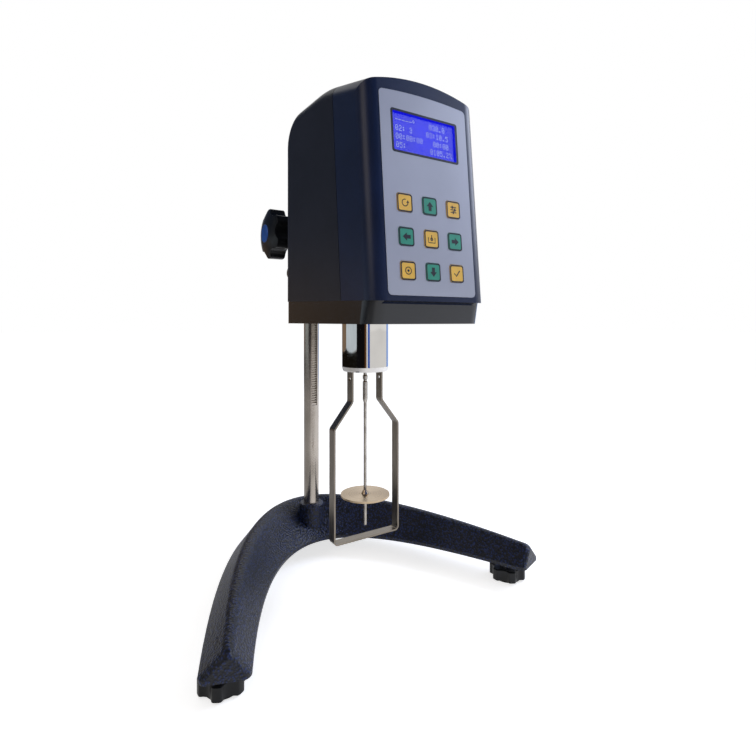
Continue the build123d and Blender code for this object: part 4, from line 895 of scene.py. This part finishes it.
class VISCOMETER_OT_works(Step):
    """Finishes the parts inside the head."""

    bl_idname = "viscometer.works"
    bl_label = "Inside the head"

    def make(self, colours, prints):
        sheet = plated("zinc_plated_sheet", "#A0A29F", "#BDBFB8", (0.3, 0.45))
        coat(sheet, "chassis", "top_plate", "standoffs")
        coat(plated("drawn_steel_can", "#8C8E90", "#A6A8AA", (0.25, 0.4)), "drive_motor")
        coat(plated("turned_brass", "#A8813C", "#C79F55", (0.2, 0.34)), "bearing_housing", "drive_gear")
        coat(plated("bearing_steel", "#A9ABAD", "#C0C1C3", (0.08, 0.18)), "main_bearings", "motor_pinion")
        coat(plated("rolled_spring_bronze", "#99673A", "#B7844F", (0.2, 0.3)), "hairspring")
        coat(plated("etched_steel", "#85878A", "#9FA1A4", (0.3, 0.42)), "encoder_disc")
        board = moulded("glass_epoxy_board", "#0C3A22", "#14552F", (0.35, 0.5), 1.55)
        coat(board, "keypad_board", "main_board")


class VISCOMETER_OT_rear(Step):
    """Finishes the power inlet and the switch at the back, and prints the switch's marks."""

    bl_idname = "viscometer.rear"
    bl_label = "Rear fittings"

    rocker_tilt: FloatProperty(
        name="Rocker tilt", description="How far the rocker leans at rest", subtype="ANGLE",
        default=math.radians(8),
    )

    def make(self, colours, prints):
        black = moulded("moulded_black_polyamide", "#0B0B0D", "#151518", (0.35, 0.48), 1.53)
        coat(black, "power_jack", "switch_housing", "power_rocker")
        self.contact(colours)
        self.marks(prints)

    def contact(self, colours):
        """Plated centre pin of the inlet."""
        low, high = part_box("power_jack")
        centre = (low + high) / 2
        place = Matrix.Translation((centre.x, high.y, centre.z)) @ Matrix.Rotation(math.radians(90), 4, "X")
        deep = 9.0 * MM
        bm = bmesh.new()
        pin = 1.03 * MM
        turned(bm, place, [
            (0, 1.2 * MM), (0.6 * pin, 1.25 * MM), (pin, 1.7 * MM), (pin, deep), (0, deep),
        ], steps=20)
        nickel = plated("nickel_plate", "#B5AFA0", "#CFC9BB", (0.12, 0.22))
        piece("inlet_pin", bm, "carriage", nickel, smooth=40)

    def marks(self, prints):
        """White bar and ring on the two halves of the rocker."""
        low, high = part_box("switch_housing")
        face = high.y - 1.6 * MM
        centre = (low + high) / 2
        pivot = Vector((centre.x, face - 1.5 * MM, centre.z))
        half, rise, dip = 7.6 * MM, 3.6 * MM, 2.0 * MM
        lean = Matrix.Rotation(-self.rocker_tilt, 4, "X")
        turn = Matrix.Translation(pivot) @ lean @ Matrix.Translation(-pivot)
        white = moulded("white_marking_ink", "#D8D8D4", "#EDEDE8", (0.4, 0.55))
        for name, side in (("bar", -1), ("ring", 1)):
            edge = Vector((centre.x, face + rise, centre.z + side * half))
            valley = Vector((centre.x, face + dip, centre.z))
            up = (edge - valley).normalized() * side
            across = Vector((-1, 0, 0))
            columns = Matrix((across, up, across.cross(up))).transposed().to_4x4()
            place = turn @ Matrix.Translation((edge + valley) / 2) @ columns
            bm = bmesh.new()
            if name == "bar":
                slab(bm, place, rounded(0.3 * MM, 1.5 * MM, 0.1 * MM, 2), 0, prints.ink_height)
            else:
                stroke(bm, place, arc(1.4 * MM, 0, 360, 24)[:-1], 0.5 * MM, 0, prints.ink_height, closed=True)
            piece(f"rocker_{name}", bm, "power_rocker", white)


class VISCOMETER_OT_level(Step):
    """Makes the bubble level on top of the head: cup, liquid, bubble, circles and lens."""

    bl_idname = "viscometer.level"
    bl_label = "Bubble level"

    bubble: FloatProperty(name="Bubble", description="Radius of the bubble", default=2.4 * MM, unit="LENGTH")

    def make(self, colours, prints):
        low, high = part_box("level_vial")
        centre = (low + high) / 2
        place = Matrix.Translation((centre.x, centre.y, low.z))
        radius, tall = (high.x - low.x) / 2 - 0.05 * MM, high.z - low.z
        wall, lens = 1.0 * MM, 1.2 * MM
        white = moulded("white_moulded_cup", "#D9DAD2", "#E6E7E0", (0.4, 0.5))
        bm = bmesh.new()
        turned(bm, place, [
            (0, 0), (radius, 0), (radius, tall - lens), (radius - wall, tall - lens),
            (radius - wall, 2 * wall), (0, 2 * wall),
        ], steps=48)
        piece("level_cup", bm, "carriage", white, replaces=("level_vial",), smooth=35)
        inside = radius - wall - 0.02 * MM
        surface = tall - lens - 0.25 * MM
        spirit = moulded("yellow_green_level_spirit", "#8FBF1E", "#A6D32C", (0.04, 0.08), 1.36)
        bm = bmesh.new()
        floor = 2.02 * wall
        turned(bm, place, [(0, floor), (inside, floor), (inside, surface), (0, surface)], steps=48)
        piece("level_spirit", bm, "carriage", spirit, smooth=35)
        bm = bmesh.new()
        flat = 0.5 * MM
        dome = [(self.bubble * math.cos(turn), surface - flat * 0.2 + flat * math.sin(turn)) for turn in (
            math.pi / 2 * step / 6 for step in range(6)
        )]
        turned(bm, place, [(0, surface - flat * 0.2), *dome, (0, surface + 0.8 * flat)], steps=32)
        air = moulded("air_bubble", "#D6F08A", "#E2F6A6", (0.02, 0.05), 1.3)
        piece("level_bubble", bm, "carriage", air, smooth=60)
        bm = bmesh.new()
        for mark in (3.1 * MM, 5.4 * MM):
            below = tall - lens
            stroke(
                bm, place, circle(mark, 40), 0.25 * MM, below - 0.1 * MM, below - 0.04 * MM, closed=True,
            )
        piece("level_circles", bm, "carriage", black_ink(colours))
        bm = bmesh.new()
        turned(bm, place, [
            (0, tall - lens), (radius, tall - lens), (radius, tall - 0.5 * MM),
            (radius - 0.3 * MM, tall - 0.25 * MM), (0.6 * radius, tall - 0.05 * MM), (0, tall),
        ], steps=48)
        piece("level_lens", bm, "carriage", clear_acrylic("clear_level_lens"), smooth=40)


class VISCOMETER_OT_screws(Step):
    """Makes the pan-head screws with their cross recesses."""

    bl_idname = "viscometer.screws"
    bl_label = "Screws"

    def make(self, colours, prints):
        self.zinc = plated("bright_zinc_plated_screws", "#A5A8AC", "#C2C4C7", (0.18, 0.3))
        down = Matrix.Rotation(math.radians(180), 4, "X")
        low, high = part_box("cover_screws")
        inset = 3.0 * MM
        cover = [
            Matrix.Translation((x, y, low.z + 2.0 * MM)) @ down
            for x in (low.x + inset, high.x - inset)
            for y in (low.y + inset, high.y - inset)
        ]
        reach = high.z - low.z - 2.0 * MM
        self.screws("cover_screw_set", "cover_screws", cover, 3.0 * MM, 2.0 * MM, 1.5 * MM, reach)
        low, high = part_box("flange_screws")
        inset = 3.5 * MM
        back = Matrix.Rotation(math.radians(-90), 4, "X")
        flange = [
            Matrix.Translation((x, high.y - 2.4 * MM, z)) @ back
            for x in (low.x + inset, high.x - inset)
            for z in (low.z + inset, high.z - inset)
        ]
        reach = high.y - low.y - 2.4 * MM
        self.screws("flange_screw_set", "flange_screws", flange, 3.5 * MM, 2.4 * MM, 2.0 * MM, reach)
        low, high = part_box("guard_screws")
        centre = (low + high) / 2
        guard = [
            Matrix.Translation((side * (high.x - 1.6 * MM), centre.y, centre.z))
            @ Matrix.Rotation(math.radians(90 * side), 4, "Y")
            for side in (-1, 1)
        ]
        self.screws("guard_screw_set", "guard_screws", guard, 2.4 * MM, 1.6 * MM, 1.15 * MM, 5.5 * MM)

    def screws(self, name, node, places, head, tall, shank, reach):
        """A set of like screws, seated at their places with the head along Z."""
        bm = bmesh.new()
        for place in places:
            self.screw(bm, place, head, tall, shank, reach)
        piece(name, bm, "carriage", self.zinc, replaces=(node,), smooth=35)

    def screw(self, bm, place, head, tall, shank, reach, steps=32):
        """Rounded head with a cross recess, and a plain shank."""
        edge = [(head * math.cos(turn), tall * (0.55 + 0.45 * math.sin(turn))) for turn in (
            math.radians(angle) for angle in (0, 25, 50)
        )]
        face_radius = 0.55 * head
        profile = [(0, -reach), (shank, -reach), (shank, 0), (head, 0), *edge, (face_radius, tall)]
        start = len(bm.verts)
        turned(bm, place, profile, steps)
        bm.verts.ensure_lookup_table()
        rim = list(bm.verts)[start:][-steps:]
        arm, half, deep = 0.42 * head, 0.11 * head, 0.6 * tall
        cross = [(arm, half), (half, half), (half, arm), (-half, arm), (-half, half), (-arm, half)]
        cross += [(-x, -y) for x, y in cross]
        top = [bm.verts.new(place @ Vector((x, y, tall))) for x, y in cross]
        floor = [bm.verts.new(place @ Vector((0.8 * x, 0.8 * y, tall - deep))) for x, y in cross]
        loops = []
        for ring in (rim, top):
            for number, vert in enumerate(ring):
                other = ring[(number + 1) % len(ring)]
                loops.append(bm.edges.get((vert, other)) or bm.edges.new((vert, other)))
        bmesh.ops.triangle_fill(bm, edges=loops, use_beauty=True)
        for number in range(len(cross)):
            after = (number + 1) % len(cross)
            bm.faces.new((top[number], top[after], floor[after], floor[number]))
        bm.faces.new(floor)


class VISCOMETER_OT_stage(Step):
    """Sets the floor, the background, the lamps and the camera."""

    bl_idname = "viscometer.stage"
    bl_label = "Stage"

    def make(self, colours, prints):
        stage = bpy.context.scene.viscometer_stage
        self.camera(stage)
        self.floor()
        self.world(stage)
        self.lamps(stage)
        self.cards()
        bpy.context.scene.view_settings.view_transform = "Standard"

    def camera(self, stage):
        data = bpy.data.cameras.new("camera")
        data.sensor_width = 36.0
        data.lens = stage.lens
        data.shift_y = stage.rise
        data.clip_start = 0.01
        made = bpy.data.objects.new("camera", data)
        made.location = stage.camera_place
        made.rotation_euler = (math.pi / 2, 0, -stage.camera_turn)
        bpy.context.scene.collection.objects.link(made)
        bpy.context.scene.camera = made

    def seen(self, tree):
        """1 for rays that show the background: from the camera, and off or through shiny things."""
        path = add(tree, "LightPath").outputs
        shiny = maths(tree, "MAXIMUM", path["Is Glossy Ray"], path["Is Transmission Ray"])
        return maths(tree, "MAXIMUM", path["Is Camera Ray"], shiny)

    def floor(self):
        """Pale bench top that keeps the instrument's shadow."""
        material, tree = new_tree("pale_laminate_floor")
        place = spot_of(tree)
        tone = ramp(tree, noise(tree, place, 40), linear("#E9E9EA"), linear("#EEEEEF"))
        matt = add(tree, "BsdfDiffuse", {"Color": tone})
        # The camera sees the bench lifted to white; shiny things see a painted pool of window light on it,
        # bright on the window's side.
        path = add(tree, "LightPath").outputs
        aside = vectors(tree, "DOT_PRODUCT", place, DARK_SIDE, result="Value")
        lit = spread(tree, aside, 0.5, 0.0, end=0.25, start=-0.05)
        # Painted light: glow added for glossy rays only, stronger on the window's side of the bench.
        painted_window_pool = maths(tree, "MULTIPLY", path["Is Glossy Ray"], lit)
        glow = add(tree, "Emission", {
            "Strength": maths(tree, "MULTIPLY_ADD", path["Is Camera Ray"], 0.68, painted_window_pool),
        })
        both = add(tree, "AddShader", {0: matt.outputs["BSDF"], 1: glow.outputs["Emission"]})
        add(tree, "OutputMaterial", {"Surface": both.outputs["Shader"]})
        bm = bmesh.new()
        bmesh.ops.create_grid(bm, x_segments=4, y_segments=4, size=12.0)
        from_mesh("floor", bm, material)

    def world(self, stage):
        world = bpy.data.worlds.new("studio")
        world.use_nodes = True
        tree = world.node_tree
        tree.nodes.clear()
        light = add(tree, "Background", {
            "Color": (1.0, 1.0, 1.0, 1.0), "Strength": spread(tree, self.seen(tree), stage.ambient, 1.0),
        })
        add(tree, "OutputWorld", {"Surface": light.outputs["Background"]})
        bpy.context.scene.world = world

    def lamps(self, stage):
        """A large cool window high on the operator's right, and a small warm lamp on the left."""
        target = Vector((0, 0, 0.24))
        for name, place, size, power, tint in (
            ("window", (1.3, -0.45, 1.05), 0.9, stage.key_power, "#DCE6FF"),
            ("fill", (-1.2, -0.5, 0.9), 0.7, stage.fill_power, "#FFF1E2"),
        ):
            data = bpy.data.lights.new(name, "AREA")
            data.size = size
            data.energy = power
            data.color = linear(tint)[:3]
            made = bpy.data.objects.new(name, data)
            made.location = place
            made.rotation_euler = (target - Vector(place)).to_track_quat("-Z", "Y").to_euler()
            bpy.context.scene.collection.objects.link(made)

    def cards(self):
        """Room round the instrument, seen only in its shiny surfaces."""
        for number, (heading, span, low, high, tint) in enumerate(CARDS):
            turn = math.radians(heading)
            away = Vector((math.sin(turn), -math.cos(turn), 0))
            spot = Matrix.Translation(away * CARD_DISTANCE + Vector((0, 0, (low + high) / 2)))
            place = spot @ away.to_track_quat("Z", "Y").to_matrix().to_4x4()
            half = CARD_DISTANCE * math.tan(math.radians(span) / 2)
            self.card(f"card_{number}", place, half, (high - low) / 2, tint)
        height, half, tint = CEILING
        self.card("ceiling", Matrix.Translation((0, 0, height)), half, half, tint)

    def card(self, name, place, half_x, half_y, tint):
        """Flat card with a soft weave, lit evenly."""
        material, tree = new_tree(f"{name}_cloth")
        cloth = linear(tint)
        tone = ramp(tree, noise(tree, spot_of(tree), 80), shade(cloth, 0.8), cloth)
        glow = add(tree, "Emission", {"Color": tone, "Strength": 1.0})
        add(tree, "OutputMaterial", {"Surface": glow.outputs["Emission"]})
        bm = bmesh.new()
        slab(bm, place, rounded(half_x, half_y, CARD_CORNER), 0, CARD_THICK)
        made = from_mesh(name, bm, material)
        for seen_by in ("camera", "diffuse", "shadow", "transmission"):
            setattr(made, f"visible_{seen_by}", False)


class VISCOMETER_PT_build(bpy.types.Panel):
    """Build steps and settings of the viscometer."""

    bl_label = "Viscometer"
    bl_space_type = "VIEW_3D"
    bl_region_type = "UI"
    bl_category = "Viscometer"

    def draw(self, context):
        for step in STEPS:
            self.layout.operator(step.bl_idname)
        for settings in GROUPS:
            group = getattr(context.scene, settings)
            box = self.layout.box()
            for name in group.__annotations__:
                box.prop(group, name)


STEPS = (
    VISCOMETER_OT_stage, VISCOMETER_OT_stand, VISCOMETER_OT_lift, VISCOMETER_OT_shells, VISCOMETER_OT_panel,
    VISCOMETER_OT_display, VISCOMETER_OT_keys, VISCOMETER_OT_measuring, VISCOMETER_OT_works,
    VISCOMETER_OT_rear, VISCOMETER_OT_level, VISCOMETER_OT_screws,
)
GROUPS = {
    "viscometer_colours": FinishColours, "viscometer_prints": PrintSizes, "viscometer_stage": StageSettings,
}


def register():
    for group in (*GROUPS.values(), *STEPS, VISCOMETER_PT_build):
        bpy.utils.register_class(group)
    for name, group in GROUPS.items():
        setattr(bpy.types.Scene, name, PointerProperty(type=group))


def unregister():
    for name in GROUPS:
        delattr(bpy.types.Scene, name)
    for group in (VISCOMETER_PT_build, *reversed(STEPS), *reversed(GROUPS.values())):
        bpy.utils.unregister_class(group)


def main():
    """Runs every step in order."""
    register()
    for step in STEPS:
        area, action = step.bl_idname.split(".")
        getattr(getattr(bpy.ops, area), action)()


if __name__ == "__main__":
    main()
